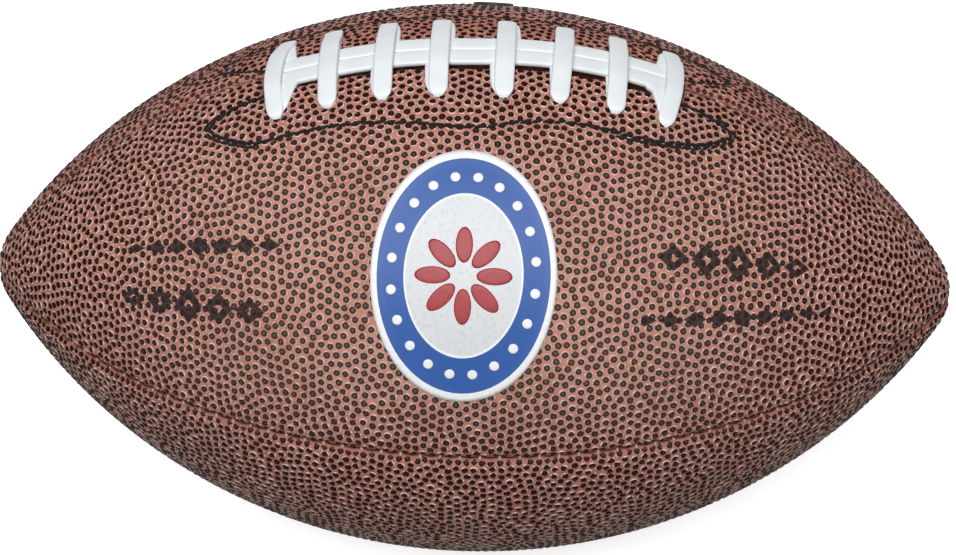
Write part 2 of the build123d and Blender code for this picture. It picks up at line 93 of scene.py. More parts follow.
def on_ball(station, angle, lift=0.0):
    """Points on the ball. The angle starts at the lacing and goes down the front."""
    along, radius, turn = profile(station)
    radius = radius + lift * np.cos(turn)
    along = along + lift * np.sin(turn)
    return np.stack([along, -radius * np.sin(angle), radius * np.cos(angle)], axis=-1)


def off_ball(points):
    """Station, angle and lift of points, which undoes on_ball."""
    along = np.abs(points[:, 0])
    radius = np.hypot(points[:, 1], points[:, 2])
    side_turn = np.arctan2(along, radius - SIDE_CENTRE)
    nose_turn = np.arctan2(along - NOSE_CENTRE, radius)
    on_side = side_turn <= SIDE_TURN
    station = np.where(on_side, SIDE_RADIUS * side_turn, SIDE_ARC + NOSE_RADIUS * (nose_turn - SIDE_TURN))
    side_lift = np.hypot(along, radius - SIDE_CENTRE) - SIDE_RADIUS
    nose_lift = np.hypot(along - NOSE_CENTRE, radius) - NOSE_RADIUS
    angle = np.arctan2(-points[:, 1], points[:, 2])
    return np.sign(points[:, 0]) * station, angle, np.where(on_side, side_lift, nose_lift)


print("arc from middle to tip, mm:", round(END_ARC / MM, 1))

# %% [markdown]
# A flat chart of the ball helps to join points into triangles. On this chart a step along the ball is
# divided by the radius there, as on a sailor's map, so small shapes keep their proportions everywhere.

# %% Chart for joining points
CHART_STEPS = 6001
CHART_MARGIN = 0.02 * MM
chart_stations = np.linspace(-1, 1, CHART_STEPS) * (END_ARC - CHART_MARGIN)
chart_pace = 1 / profile(chart_stations)[1]
chart_step = np.diff(chart_stations)
chart_places = np.concatenate([[0], np.cumsum((chart_pace[1:] + chart_pace[:-1]) / 2 * chart_step)])
chart_places -= chart_places[CHART_STEPS // 2]


def chart_of(station):
    """Place of a station on the chart."""
    return np.interp(station, chart_stations, chart_places)


print("half length of the chart:", round(float(chart_places[-1]), 2))

# %% [markdown]
# Lines on the ball, such as the lace and the stitching, are set down by a few points. A smooth curve
# through them, sampled at even steps, gives a line that bends like thread and not like a folded wire.

# %% Smooth line through points
CURVE_STEPS = 40


def smooth_line(points, count):
    """Even samples of a smooth curve through a few points."""
    points = np.asarray(points, dtype=float)
    before = np.vstack([2 * points[0] - points[1], points, 2 * points[-1] - points[-2]])
    fine = np.linspace(0, len(points) - 1, CURVE_STEPS * len(points))
    part = np.minimum(fine.astype(int), len(points) - 2)
    share = (fine - part)[:, None]
    a, b, c, d = before[part], before[part + 1], before[part + 2], before[part + 3]
    slope_in, slope_out = (c - a) / 2, (d - b) / 2
    bend = (2 * share**3 - 3 * share**2 + 1) * b + (share**3 - 2 * share**2 + share) * slope_in
    bend = bend + (3 * share**2 - 2 * share**3) * c + (share**3 - share**2) * slope_out
    length = np.concatenate([[0], np.cumsum(np.linalg.norm(np.diff(bend, axis=0), axis=1))])
    even = np.linspace(0, length[-1], count)
    return np.stack([np.interp(even, length, column) for column in bend.T], axis=-1)


print("steps from point to point of a curve:", CURVE_STEPS)

# %% [markdown]
# Before the leather is laid, the script settles where other things press into it: the lace holes, the
# line of black stitching round each lace stay, the seat of the printed badge and the valve. The leather
# dips, flattens or swells there, and that makes the pieces look sewn on and not just placed. The two
# stitched lines are points of (station, arc from the lacing).

# %% What presses into the cover
CROSS_STATIONS = np.array([-53.8, -40.0, -24.4, -9.2, 8.8, 24.6, 40.0, 54.8]) * MM
HOLE_ARC = 17.4 * MM
LACE_SHIFT = 1.5 * MM
LACE_SKEW = -0.012
RUN_SWAY = np.array([
    (-57, 0.9), (-40, 0.9), (-20, 0.3), (0, 0.3), (20, -0.9), (36, -1.2), (57, -0.4),
]) * MM
FRONT_STAY = np.array([
    (-58, 8.6), (-64.3, 8.7), (-68.5, 9.6), (-72, 11.4), (-75, 13.6), (-73, 17), (-69, 20.1),
    (-62.9, 23.7), (-57.7, 25.2), (-46, 25.3), (-31, 25.8), (-18, 27.2), (-4, 28.9), (6, 28.6),
    (15, 26.4), (24.3, 25.2), (34, 24.8), (41.4, 25.2), (50, 24.8), (60.8, 22.4), (67, 19.3),
    (71.5, 16.2), (73.9, 13.4), (71.6, 11), (64.2, 8.7), (58.5, 8),
]) * MM
BACK_STAY = np.array([
    (-58, 4), (-64, 6), (-70, 9.4), (-75, 13), (-74, 16), (-69, 19), (-57, 22.3), (-40, 23.5),
    (-20, 23.8), (-4, 24.1), (10, 23.4), (23, 23.5), (41, 23.2), (57, 21.5), (70, 17), (74.6, 13.8),
    (71, 9.8), (65, 6.2), (58, 3.8),
]) * MM
STAY_STEPS = 300
BADGE_ANGLE = math.radians(51.8)
BADGE_WIDE = 24.8 * MM
BADGE_TALL = 34.5 * MM
VALVE_STATION = 4 * MM
VALVE_ANGLE = math.radians(-33)
VALVE_HOLE = 6.12 * MM
SEAM_PITCH = 5.4 * MM
SEAM_END = SIDE_ARC - 12.0 * MM
stay_paths = {1: smooth_line(FRONT_STAY, STAY_STEPS), -1: smooth_line(BACK_STAY, STAY_STEPS)}


def lace_shift(station):
    """How far the lacing lies to the front of the top seam, at a station."""
    return LACE_SHIFT + LACE_SKEW * station


def seam_beat(station):
    """1 at each stitch of a seam and 0 midway between two stitches."""
    count = int(2 * SEAM_END / SEAM_PITCH)
    phase = (station + SEAM_END) / (2 * SEAM_END) * count - 0.5
    return 0.5 + 0.5 * np.cos(2 * math.pi * phase)


def path_length(path):
    """Length of a line of points."""
    return float(np.linalg.norm(np.diff(path, axis=0), axis=1).sum())


print("stitched line round the front stay, mm:", round(path_length(stay_paths[1]) / MM))

# %% [markdown]
# Pebbled leather is stamped with thousands of small round bumps. A bump map would do from far away, but
# the grain is the look of this ball, so each pebble is real. Centres are set out in staggered rows, nudged
# at random from a fixed seed, and pushed apart a few times so that they settle like grains in a tray.

# %% Where the pebbles sit
PEBBLE_PITCH = 2.7 * MM
PEBBLE_STRAY = 0.28
SETTLE_ROUNDS = 8
SETTLE_REACH = 1.2 * PEBBLE_PITCH
SETTLE_NEAR = 7
SETTLE_SHARE = 0.3
SEAM_STEP = 1.02 * MM
SEAM_STRAY = 0.35 * MM
WIDEST_HALF = 1.2
TIP_ROWS = 3
ROW_SPARE = 0.3 * PEBBLE_PITCH - SEAM_STEP
ROW_SHIFT = 0.25


def panel_half(station, spare):
    """Half the arc across a panel at a station, with some spare beyond each seam, or less."""
    radius = profile(station)[1]
    return np.minimum(radius * math.pi / 4 + spare, radius * WIDEST_HALF)


def settle(station, across, spare):
    """Pushes centres apart over the ball, and keeps them near their panel."""
    for _ in range(SETTLE_ROUNDS):
        points = on_ball(station, across / profile(station)[1])
        tree = kdtree.KDTree(len(points))
        for index, point in enumerate(points):
            tree.insert(point, index)
        tree.balance()
        push = np.zeros_like(points)
        for index, point in enumerate(points):
            for near, other, gap in tree.find_n(point, SETTLE_NEAR):
                if other != index and gap < SETTLE_REACH:
                    push[index] += (point - np.array(near)) / gap * (SETTLE_REACH - gap)
        station, angle, _ = off_ball(points + SETTLE_SHARE * push)
        limit = panel_half(station, spare)
        across = np.clip(angle * profile(station)[1], -limit, limit)
    return station, across


def pebble_centres(seed):
    """Stations and angles of pebbles about a panel's middle line, out to its seams."""
    chance = np.random.default_rng(seed)
    row_gap = PEBBLE_PITCH * math.sqrt(3) / 2
    rows = np.arange(-END_ARC + TIP_ROWS * row_gap, END_ARC - TIP_ROWS * row_gap, row_gap)
    station, across = [], []
    for number, row in enumerate(rows):
        half = float(panel_half(row, ROW_SPARE))
        count = int(2 * half / PEBBLE_PITCH)
        shift = ROW_SHIFT if number % 2 else -ROW_SHIFT
        station.append(np.full(count + 1, row))
        across.append((np.arange(count + 1) - count / 2 + shift) * PEBBLE_PITCH)
    station, across = np.concatenate(station), np.concatenate(across)
    station = station + chance.normal(0, PEBBLE_STRAY * PEBBLE_PITCH, len(station))
    across = across + chance.normal(0, PEBBLE_STRAY * PEBBLE_PITCH, len(across))
    spare = -SEAM_STEP - SEAM_STRAY * chance.random(len(station))
    station, across = settle(station, across, spare)
    return station, across / profile(station)[1]


print("pebbles stand about", PEBBLE_PITCH / MM, "mm apart")

# %% [markdown]
# A panel's edge rolls down into the seam. The roll is a short list of steps, each a distance from the
# seam's plane and a depth, and every step is one loop round the panel. The last two steps fold the edge
# under, to meet the flesh side, so that the panel is a solid sheet and not a paper skin. Along the slit
# under the lace the two edges stand a little apart.

# %% Edge of a panel
RIM_STEPS = 340
ROLL_START = 0.5 * MM
ROLL = [(0.4, 0.1), (0.32, 0.3), (0.28, 0.7), (0.28, 1.4), (0.95, 1.45), (1.6, 0.8)]
ROLL_GATHER = 0.5
GATHER_REACH = 0.9 * MM
GATHER_RADIUS = 4 * MM
SLIT_END = 62 * MM
SLIT_FADE = 4 * MM
SLIT_SPREAD = 0.8 * MM


def slit_share(station):
    """1 along the open slit under the lace, falling to 0 at its ends."""
    rise = np.clip((SLIT_END - np.abs(station)) / SLIT_FADE, 0, 1)
    return rise * rise * (3 - 2 * rise)


def panel_bound(station, lateral, slit_side, side):
    """Angle of a panel's edge about its middle line, at a distance from the seam's plane."""
    gather = 1 - ROLL_GATHER * seam_beat(station)
    away_from_tip = profile(station)[1] > GATHER_RADIUS
    narrow = np.where(away_from_tip, gather, 1.0) if lateral < GATHER_REACH else 1.0
    wide = lateral * narrow + (SLIT_SPREAD * slit_share(station) if side == slit_side else 0.0)
    return side * (math.pi / 4 - np.arcsin(np.clip(wide / profile(station)[1], 0, math.sqrt(0.5))))


def rim_loop(lateral, slit_side):
    """Stations and angles of one loop round a panel."""
    tip_turn = math.acos(lateral * math.sqrt(2) / NOSE_RADIUS)
    reach = SIDE_ARC + NOSE_RADIUS * (tip_turn - SIDE_TURN)
    there = np.linspace(-reach, reach, RIM_STEPS)
    back = there[-2:0:-1]
    angles = [panel_bound(there, lateral, slit_side, -1), panel_bound(back, lateral, slit_side, 1)]
    return np.concatenate([there, back]), np.concatenate(angles)


def ring_round(station, angle, radius, count):
    """Stations and angles of a ring on the cover."""
    turn = np.linspace(0, 2 * math.pi, count, endpoint=False)
    stations = station + radius * np.cos(turn)
    return stations, angle + radius * np.sin(turn) / profile(stations)[1]


print("steps in the rolled edge:", len(ROLL))

# %% [markdown]
# Joining the points is a job for a Delaunay triangulation, which Blender has built in. It gives the
# fattest triangles, so each pebble centre gets about six neighbours, as in a honeycomb. The same function
# lays the coarse flesh side, because it takes any loops and any points between them. The first loop is
# the sheet's outline, and a second one is the hole for the valve.

# %% Join points into a sheet
JOIN_INSIDE = 1
JOIN_NEARNESS = 1e-9


def lay_sheet(bm, loops, middle, places, inward):
    """Faces inside the first loop of vertices, through loose vertices, with the second loop left open."""
    verts = [v for loop in loops for v in loop] + middle
    station = np.concatenate([place[0] for place in places])
    angle = np.concatenate([place[1] for place in places])
    chart = [Vector((x, y)) for x, y in zip(chart_of(station), angle)]
    edges = []
    first = 0
    for loop in loops:
        edges += [(first + k, first + (k + 1) % len(loop)) for k in range(len(loop))]
        first += len(loop)
    opening = set(loops[1]) if len(loops) > 1 else set()
    _, _, faces, origin, _, _ = geometry.delaunay_2d_cdt(chart, edges, [], JOIN_INSIDE, JOIN_NEARNESS)
    for face in faces:
        corners = [verts[origin[k][0]] for k in face]
        if not opening.issuperset(corners):
            bm.faces.new(corners if inward else corners[::-1])


def step_loop(bm, loop, points):
    """Extrudes a loop of edges and moves the new loop to its points."""
    edges = [bm.edges.get((loop[k - 1], loop[k])) for k in range(len(loop))]
    made = bmesh.ops.extrude_edge_only(bm, edges=edges)["geom"]
    fresh = {v for v in made if isinstance(v, bmesh.types.BMVert)}
    partner = {e.other_vert(v): v for v in fresh for e in v.link_edges if e.other_vert(v) not in fresh}
    ring = [partner[v] for v in loop]
    for v, point in zip(ring, points):
        v.co = point
    return ring


print("vertices in one loop round a panel:", len(rim_loop(ROLL_START, 0)[0]))

# %% [markdown]
# A pebble on real leather is a low dome with a round foot. The vertex bevel turns every centre into a
# small polygon, which is that foot, and two insets with a lift raise it. Operators do this for all the
# pebbles at once, which is far quicker than placing a ready dome thousands of times. Each vertex keeps its
# offset from its pebble's centre, so the finish can later ink a round dark top on every dome.

# %% Raise the pebbles
PEBBLE_FOOT = 45.5
FOOT_REACH = 0.25 * PEBBLE_PITCH
DOME_STEPS = [(0.17 * MM, 0.06 * MM, 0.35), (0.13 * MM, 0.2 * MM, 0.8)]
DOME_CROWN = 0.12 * MM


def raise_pebbles(bm, seats, chance):
    """Bevels each centre to a foot and lifts it to a dome, and marks its vertices."""
    offset = bm.verts.layers.float_vector["from_centre"]
    dome = bm.verts.layers.float["dome"]
    tone = bm.verts.layers.float["tone"]
    places = [seat.co.copy() for seat in seats]
    tones = chance.random(len(seats))
    centres = kdtree.KDTree(len(seats))
    for index, place in enumerate(places):
        centres.insert(place, index)
    centres.balance()

    def mark(v, index, level):
        v[offset] = v.co - places[index]
        v[dome] = level
        v[tone] = tones[index]

    bmesh.ops.bevel(
        bm, geom=seats, offset=PEBBLE_FOOT, offset_type="PERCENT", affect="VERTICES",
        segments=1, profile=0.5, material=-1,
    )
    owners = []
    for face in bm.faces:
        _, index, gap = centres.find(face.calc_center_median())
        if gap < FOOT_REACH:
            owners.append((face, index))
    feet = [face for face, _ in owners]
    for thickness, depth, level in [(0.0, 0.0, 0.0)] + DOME_STEPS:
        if depth:
            bmesh.ops.inset_individual(
                bm, faces=feet, thickness=thickness, depth=depth, use_even_offset=True,
            )
        for face, index in owners:
            for v in face.verts:
                mark(v, index, level)
    for v in bmesh.ops.poke(bm, faces=feet, offset=DOME_CROWN)["verts"]:
        _, index, _ = centres.find(v.co)
        mark(v, index, 1.0)
    return len(owners)


print("a pebble's foot takes", PEBBLE_FOOT, "percent of the way to its neighbours")

# %% [markdown]
# A panel has a grain side, which shows, and a flesh side, which meets the lining. The grain side takes the
# pebbles that lie inside the rolled edge. The flesh side could be as fine, but a coarse grid does, since
# it is hidden. Both stay clear of the hole for the valve, where a panel has one.

# %% Points of a panel
PEBBLE_EDGE = 0.5 * MM
FLESH_PITCH = 11 * MM
FLESH_EDGE = -0.6 * FLESH_PITCH
HOLE_EDGE = VALVE_HOLE + 0.25 * MM
GRAIN_CLEAR = HOLE_EDGE + 0.7 * PEBBLE_PITCH
FLESH_CLEAR = 1.6 * HOLE_EDGE


def clear_of(hole, station, angle, distance):
    """The stations and angles that lie farther from a hole than a distance."""
    if hole is None:
        return station, angle
    far = np.hypot(station - hole[0], (angle - hole[1]) * profile(station)[1]) > distance
    return station[far], angle[far]


def grain_places(seed, slit_side, hole):
    """Stations and angles of the pebbles inside a panel's rolled edge."""
    station, angle = pebble_centres(seed)
    spare = PEBBLE_EDGE / profile(station)[1]
    inside = angle > panel_bound(station, ROLL_START, slit_side, -1) + spare
    inside &= angle < panel_bound(station, ROLL_START, slit_side, 1) - spare
    return clear_of(hole, station[inside], angle[inside], GRAIN_CLEAR)


def flesh_places(hole):
    """A coarse grid of stations and angles for a panel's flesh side."""
    rows = np.arange(-END_ARC + FLESH_PITCH, END_ARC - FLESH_PITCH / 2, FLESH_PITCH)
    station, angle = [], []
    for row in rows:
        half = float(panel_half(row, FLESH_EDGE))
        if half < 0:
            continue
        count = int(2 * half / FLESH_PITCH)
        across = (np.arange(count + 1) - count / 2) * FLESH_PITCH
        station += [row] * (count + 1)
        angle += list(across / profile(row)[1])
    return clear_of(hole, np.array(station), np.array(angle), FLESH_CLEAR)


print("points on a flesh side:", len(flesh_places(None)[0]))

# %% [markdown]
# Now one panel can be made. On the real ball it is a pointed oval that is cut from a hide. Here the grain
# side is joined first, its edge is extruded step by step round the roll, and the flesh side closes the
# form. The panel with the valve also gets a round hole with a small lip.

# %% Make a panel
SKIN_DEPTH = 0.8 * MM
HOLE_RING = 40
HOLE_LIP = 0.2 * MM
TONE_SEED = 100


def panel_mesh(middle_angle, seed, slit_side, valve):
    """One panel as a closed bmesh, with its pebbles up."""
    bm = bmesh.new()
    bm.verts.layers.float_vector.new("from_centre")
    bm.verts.layers.float.new("dome")
    bm.verts.layers.float.new("tone")

    def points(place, lift=0.0):
        return on_ball(place[0], middle_angle + place[1], lift)

    hole = (VALVE_STATION, VALVE_ANGLE - middle_angle) if valve else None
    rings = [rim_loop(ROLL_START, slit_side)]
    if valve:
        rings.append(ring_round(*hole, HOLE_EDGE, HOLE_RING))
    grain = grain_places(seed, slit_side, hole)
    loops = [[bm.verts.new(p) for p in points(ring)] for ring in rings]
    seats = [bm.verts.new(p) for p in points(grain)]
    lay_sheet(bm, loops, seats, rings + [grain], False)
    bm.normal_update()
    count = raise_pebbles(bm, seats, np.random.default_rng(seed + TONE_SEED))
    for lateral, depth in ROLL:
        rings[0] = rim_loop(lateral * MM, slit_side)
        loops[0] = step_loop(bm, loops[0], points(rings[0], -depth * MM))
    if valve:
        rings[1] = ring_round(*hole, VALVE_HOLE, HOLE_RING)
        for depth in (HOLE_LIP, SKIN_DEPTH):
            loops[1] = step_loop(bm, loops[1], points(rings[1], -depth))
    flesh = flesh_places(hole)
    seats = [bm.verts.new(p) for p in points(flesh, -SKIN_DEPTH)]
    lay_sheet(bm, loops, seats, rings + [flesh], True)
    bmesh.ops.recalc_face_normals(bm, faces=bm.faces)
    return bm, count


print("leather thickness, mm:", SKIN_DEPTH / MM)

# %% [markdown]
# Leather gives way where it is pulled. Beside a seam it sinks, and it is pinched at each stitch. Round a
# lace hole it is dented, under the black stitching it is creased, and along the slit it goes down under
# the lace. Each pull is a smooth falloff from a line or a point, which costs little and joins well. Shade
# falls in the same places, so each pull gives a depth and a share of painted shade: a dark colour in the
# seams, round the lace holes and under the lace.

# %% Pull of seams and lacing
SEAM_VALLEY = 0.7 * MM
SEAM_VALLEY_WIDE = 1.5 * MM
SEAM_PINCH = 0.55 * MM
SEAM_PINCH_WIDE = 1.1 * MM
SEAM_FADE = 10 * MM
# Painted shade beside a seam: its share of the dark colour and its width.
SEAM_SHADE = 0.35
SEAM_SHADE_WIDE = 1.0 * MM
STAY_VALLEY = 0.6 * MM
STAY_FALLS = [(0.65, 1.1 * MM), (0.35, 3.5 * MM)]
STAY_LONG = 90 * MM
STAY_WIDE = 45 * MM
LACE_DENT = 0.9 * MM
LACE_DENT_WIDE = 2.4 * MM
# Painted shadow round each lace hole.
HOLE_SHADOW = 0.9
HOLE_SHADOW_WIDE = 1.3 * MM
SLIT_VALLEY = 1.2 * MM
SLIT_EDGE = {1: 9.5 * MM, -1: 4.2 * MM}
SLIT_SOFT = 0.9 * MM


def bell(distance, width):
    """A smooth falloff, 1 at no distance."""
    return np.exp(-((distance / width) ** 2))


def seam_pull(station, radius, seam):
    """Depth and painted shade beside the seams, at a distance from them."""
    pinch = SEAM_PINCH * seam_beat(station) * bell(seam, SEAM_PINCH_WIDE)
    depth = (SEAM_VALLEY * bell(seam, SEAM_VALLEY_WIDE) + pinch) * np.clip(radius / SEAM_FADE, 0, 1)
    # The second value is the painted shade beside the seam.
    return depth, SEAM_SHADE * bell(seam, SEAM_SHADE_WIDE)


def lacing_pull(station, lead, front):
    """Depth and painted shade of an upper panel, at an arc from the top seam, to the front or not."""
    arc = np.abs(lead)
    depth, shade_share = np.zeros(len(station)), np.zeros(len(station))
    near = (np.abs(station) < STAY_LONG) & (arc < STAY_WIDE)
    flat = np.stack([station[near], front * (lead[near] - lace_shift(station[near]))], axis=-1)
    gap = np.min(np.linalg.norm(flat[:, None, :] - stay_paths[front][None, :, :], axis=-1), axis=1)
    for share, width in STAY_FALLS:
        depth[near] += STAY_VALLEY * share * bell(gap, width)
    for cross in CROSS_STATIONS:
        away = np.hypot(station - cross, arc - HOLE_ARC - front * lace_shift(cross))
        depth += LACE_DENT * bell(away, LACE_DENT_WIDE)
        # Painted shadow round each lace hole.
        shade_share = np.maximum(shade_share, HOLE_SHADOW * bell(away, HOLE_SHADOW_WIDE))
    # Along the slit the leather goes down under the lace, and painted shade goes there too, as a dark
    # strip.
    edge = SLIT_EDGE[front] + front * np.interp(station, *RUN_SWAY.T)
    under = np.clip((edge - arc) / SLIT_SOFT, 0, 1) * slit_share(station)
    return depth + SLIT_VALLEY * under, np.maximum(shade_share, under)


print("deepest dent, at a lace hole, mm:", LACE_DENT / MM)

# %% [markdown]
# With the grain up, the leather is pressed. The outer surface sinks by the pulls, it swells a little round
# the valve, and under the badge the pebbles are flattened. The same pass writes marks that the finish
# reads: the painted shade in the seams, round the lace holes and under the lace, the wear, the lit front
# that takes the painted highlights, the painted shade on the crown behind the lacing, and each vertex's
# place on the ball for the stamped ornament. A mark on the mesh needs no picture.

# %% Press the leather
OUTER_DEPTH = 3 * MM
# Painted shade on the rolled edges, where they turn down into the seams.
ROLL_SHADE = 0.9
ROLL_SHADE_FROM = 0.12 * MM
ROLL_SHADE_SOFT = 0.3 * MM
VALVE_SWELL = 0.15 * MM
VALVE_SWELL_WIDE = 11 * MM
SEAM_WEAR = 0.06
SEAM_WEAR_WIDE = 3 * MM
BADGE_SEAT = 0.97
BADGE_SEAT_SOFT = 0.05
BADGE_GRAIN = 0.12
# The lit front, which faces the lamp and camera: its ink gets a painted sheen and highlights, and away from
# it the tan gets painted shade.
LIT_FRONT_ANGLE = math.radians(55)
LIT_FRONT_LONG = 90 * MM
LIT_FRONT_WIDE = 42 * MM
# Painted shade on the crown behind the lacing, which turns away from the lamp.
CROWN_SHADE_LEAD = -16 * MM
CROWN_SHADE_WIDE = 17 * MM


def press(piece, middle_angle):
    """Sinks the outer surface where things pull it, and marks painted shade, wear, the lit front and place.
    """
    mesh = piece.data
    points = np.empty(len(mesh.vertices) * 3)
    mesh.vertices.foreach_get("co", points)
    station, angle, lift = off_ball(points.reshape(-1, 3))
    radius = profile(station)[1]
    lead = angle * radius
    turn = (angle - middle_angle + math.pi) % (2 * math.pi) - math.pi
    seam = radius * np.sin(np.clip(math.pi / 4 - np.abs(turn), 0, math.pi / 2))
    sink, painted_shade = seam_pull(station, radius, seam)
    # Painted shade on the rolled edges that turn down into the seams.
    painted_shade = np.maximum(painted_shade, ROLL_SHADE * np.clip((-lift - ROLL_SHADE_FROM) / ROLL_SHADE_SOFT, 0, 1))
    wear = np.ones(len(station))
    if abs(middle_angle) < math.pi / 2:
        depth, shade_share = lacing_pull(station, lead, int(np.sign(middle_angle)))
        away = np.hypot(station - VALVE_STATION, (angle - VALVE_ANGLE) * radius)
        sink += depth - VALVE_SWELL * bell(away, VALVE_SWELL_WIDE)
        painted_shade = np.maximum(painted_shade, shade_share)
        wear -= SEAM_WEAR * bell(lead, SEAM_WEAR_WIDE) * (1 - slit_share(station))
    badge = np.hypot(station / BADGE_WIDE, (angle - BADGE_ANGLE) * radius / BADGE_TALL)
    flatten = np.clip((badge - BADGE_SEAT) / BADGE_SEAT_SOFT, BADGE_GRAIN, 1)
    outer = np.clip(1 + lift / OUTER_DEPTH, 0, 1)
    lift = np.where(lift > 0, lift * flatten * (0.5 + 0.5 * wear), lift) - sink * outer
    mesh.vertices.foreach_set("co", on_ball(station, angle, lift).ravel())
    # The lit front, where the painted highlights go.
    aside = (np.abs(angle) - LIT_FRONT_ANGLE) * radius
    lit_front = bell(station**2, LIT_FRONT_LONG**2) * bell(aside**2, LIT_FRONT_WIDE**2)
    # Painted shade on the crown behind the lacing.
    darker_tone = bell(lead - CROWN_SHADE_LEAD, CROWN_SHADE_WIDE)
    marks = {"wear": wear, "painted_shade": painted_shade, "lit_front": lit_front, "darker_tone": darker_tone}
    marks.update({"along": station, "round": angle * BELLY})
    for name, values in marks.items():
        mesh.attributes.new(name, "FLOAT", "POINT").data.foreach_set("value", values)
    mesh.update()


# The lit front, which takes the painted highlights, is centred at this angle.
print("handled most at an angle of", round(math.degrees(LIT_FRONT_ANGLE)), "degrees from the lacing")

# %% [markdown]
# A finish in Blender is a tree of nodes. Writing out every node and link would hide the idea, so a few
# short helpers add a node, do one step of arithmetic, make a ramp or mix two colours. With them a finish
# reads almost like a recipe.

# %% Nodes for finishes
def start_finish(name):
    """A new material with its tree and its surface shader."""
    finish = bpy.data.materials.new(name)
    finish.use_nodes = True
    return finish, finish.node_tree, finish.node_tree.nodes["Principled BSDF"]


def add(tree, kind, settings=None, **inputs):
    """A node with its settings, and with each input set or linked, by its name or as i and its number."""
    made = tree.nodes.new(kind)
    for key, value in (settings or {}).items():
        setattr(made, key, value)
    for key, value in inputs.items():
        numbered = key[0] == "i" and key[1:].isdigit()
        socket = made.inputs[int(key[1:])] if numbered else made.inputs[key]
        if isinstance(value, bpy.types.NodeSocket):
            tree.links.new(value, socket)
        else:
            socket.default_value = value
    return made


def maths(tree, operation, first, second=0.0):
    """One step of arithmetic between sockets or numbers."""
    return add(tree, "ShaderNodeMath", {"operation": operation}, i0=first, i1=second).outputs[0]


def ramp_between(tree, value, low, high):
    """0 at low and 1 at high, with a smooth rise."""
    settings = {"interpolation_type": "SMOOTHSTEP", "clamp": True}
    sizes = {"Value": value, "From Min": low, "From Max": high, "To Min": 0.0, "To Max": 1.0}
    return add(tree, "ShaderNodeMapRange", settings, **sizes).outputs["Result"]


def mix_colours(tree, share, first, second):
    """Colour between two, by a share."""
    made = add(tree, "ShaderNodeMix", {"data_type": "RGBA"}, i0=share, i6=first, i7=second)
    return made.outputs[2]


print("helpers for finishes: a node, arithmetic, a ramp and a mix")

# %% [markdown]
# A finish also needs something to mix by. That is a mark which the mesh carries, or noise. The noise reads
# the piece's own coordinates, because these stay with the piece when it moves, and a picture would need to
# be unwrapped first. Fine relief and the dullness of a surface come last in most of the recipes.

# %% Marks, noise and relief
def carried(tree, name, output="Fac"):
    """A mark that the mesh carries on its vertices."""
    return add(tree, "ShaderNodeAttribute", {"attribute_name": name}).outputs[output]


def object_noise(tree, scale, detail, roughness=0.5):
    """Noise on the piece's own coordinates."""
    place = add(tree, "ShaderNodeTexCoord").outputs["Object"]
    sizes = {"Vector": place, "Scale": scale, "Detail": detail, "Roughness": roughness}
    return add(tree, "ShaderNodeTexNoise", None, **sizes).outputs["Fac"]


def bump(tree, surface, height, strength, distance):
    """Fine relief on a surface."""
    sizes = {"Height": height, "Strength": strength, "Distance": distance}
    relief = add(tree, "ShaderNodeBump", None, **sizes)
    tree.links.new(relief.outputs["Normal"], surface.inputs["Normal"])


def dull(surface, roughness, shine):
    """Sets how rough a surface is and how strongly it shines."""
    surface.inputs["Roughness"].default_value = roughness
    surface.inputs["Specular IOR Level"].default_value = shine


print("helpers for finishes: marks, noise, relief and dullness")

# %% [markdown]
# The body of the leather is a pinkish tan, in warm patches as large as a thumb and orange flecks as small
# as a pebble. Round each inked top a pale rim is a painted highlight on the pebble's shoulder. Away from
# the lit front, and most of all on the crown behind the lacing, the tan is darker and redder, as painted
# shade. All this is mixed from noise and from the marks on the mesh.

# %% Leather body
TAN = (0.51, 0.235, 0.192, 1)
TAN_WARM = (0.43, 0.18, 0.14, 1)
TAN_ORANGE = (0.46, 0.25, 0.165, 1)
# Painted shade: a darker, redder tan away from the lit front.
TAN_SHADED = (0.44, 0.165, 0.125, 1)
# Painted highlight on the shoulder round each inked top.
TAN_RIM_HIGHLIGHT = (0.78, 0.59, 0.545, 1)
PATCH_SCALE = 45
FLECK_SCALE = 260
FLECK_SHARE = 0.55
SHADED_SHARE = 0.6
INK_RADIUS = 0.98 * MM
PALE_FROM = INK_RADIUS + 0.42 * MM
PALE_TO = INK_RADIUS + 0.06 * MM
PALE_SHARE = 0.65
PALE_AWAY_FROM_LIGHT = 0.3
PALE_CROWN_SHADE = 0.75


def leather_body(tree, edge, dome):
    """Tan in patches and flecks, redder as painted shade away from the lit front, with a pale rim of
    painted highlight at a distance from each pebble's centre.
    """
    patches = ramp_between(tree, object_noise(tree, PATCH_SCALE, detail=4), low=0.35, high=0.65)
    body = mix_colours(tree, patches, TAN, TAN_WARM)
    flecks = ramp_between(tree, object_noise(tree, FLECK_SCALE, detail=3), low=0.42, high=0.62)
    body = mix_colours(tree, maths(tree, "MULTIPLY", flecks, FLECK_SHARE), body, TAN_ORANGE)
    # Away from the lit front the tan turns darker and redder, as painted shade.
    away_from_light = maths(tree, "SUBTRACT", 1.0, carried(tree, "lit_front"))
    # Painted shade on the crown behind the lacing makes the tan redder and the pale rims weaker there.
    darker_tone = carried(tree, "darker_tone")
    redder = maths(tree, "MAXIMUM", maths(tree, "MULTIPLY", away_from_light, SHADED_SHARE), darker_tone)
    body = mix_colours(tree, redder, body, TAN_SHADED)
    # Painted highlight: a pale rim round each inked top.
    pale = ramp_between(tree, edge, PALE_FROM, PALE_TO)
    pale = maths(tree, "MULTIPLY", pale, ramp_between(tree, dome, low=0.0, high=0.15))
    crisp = maths(tree, "ADD", maths(tree, "MULTIPLY", away_from_light, PALE_AWAY_FROM_LIGHT), PALE_SHARE)
    crisp = maths(tree, "SUBTRACT", crisp, maths(tree, "MULTIPLY", darker_tone, PALE_CROWN_SHADE))
    return mix_colours(tree, maths(tree, "MULTIPLY", pale, crisp), body, TAN_RIM_HIGHLIGHT)


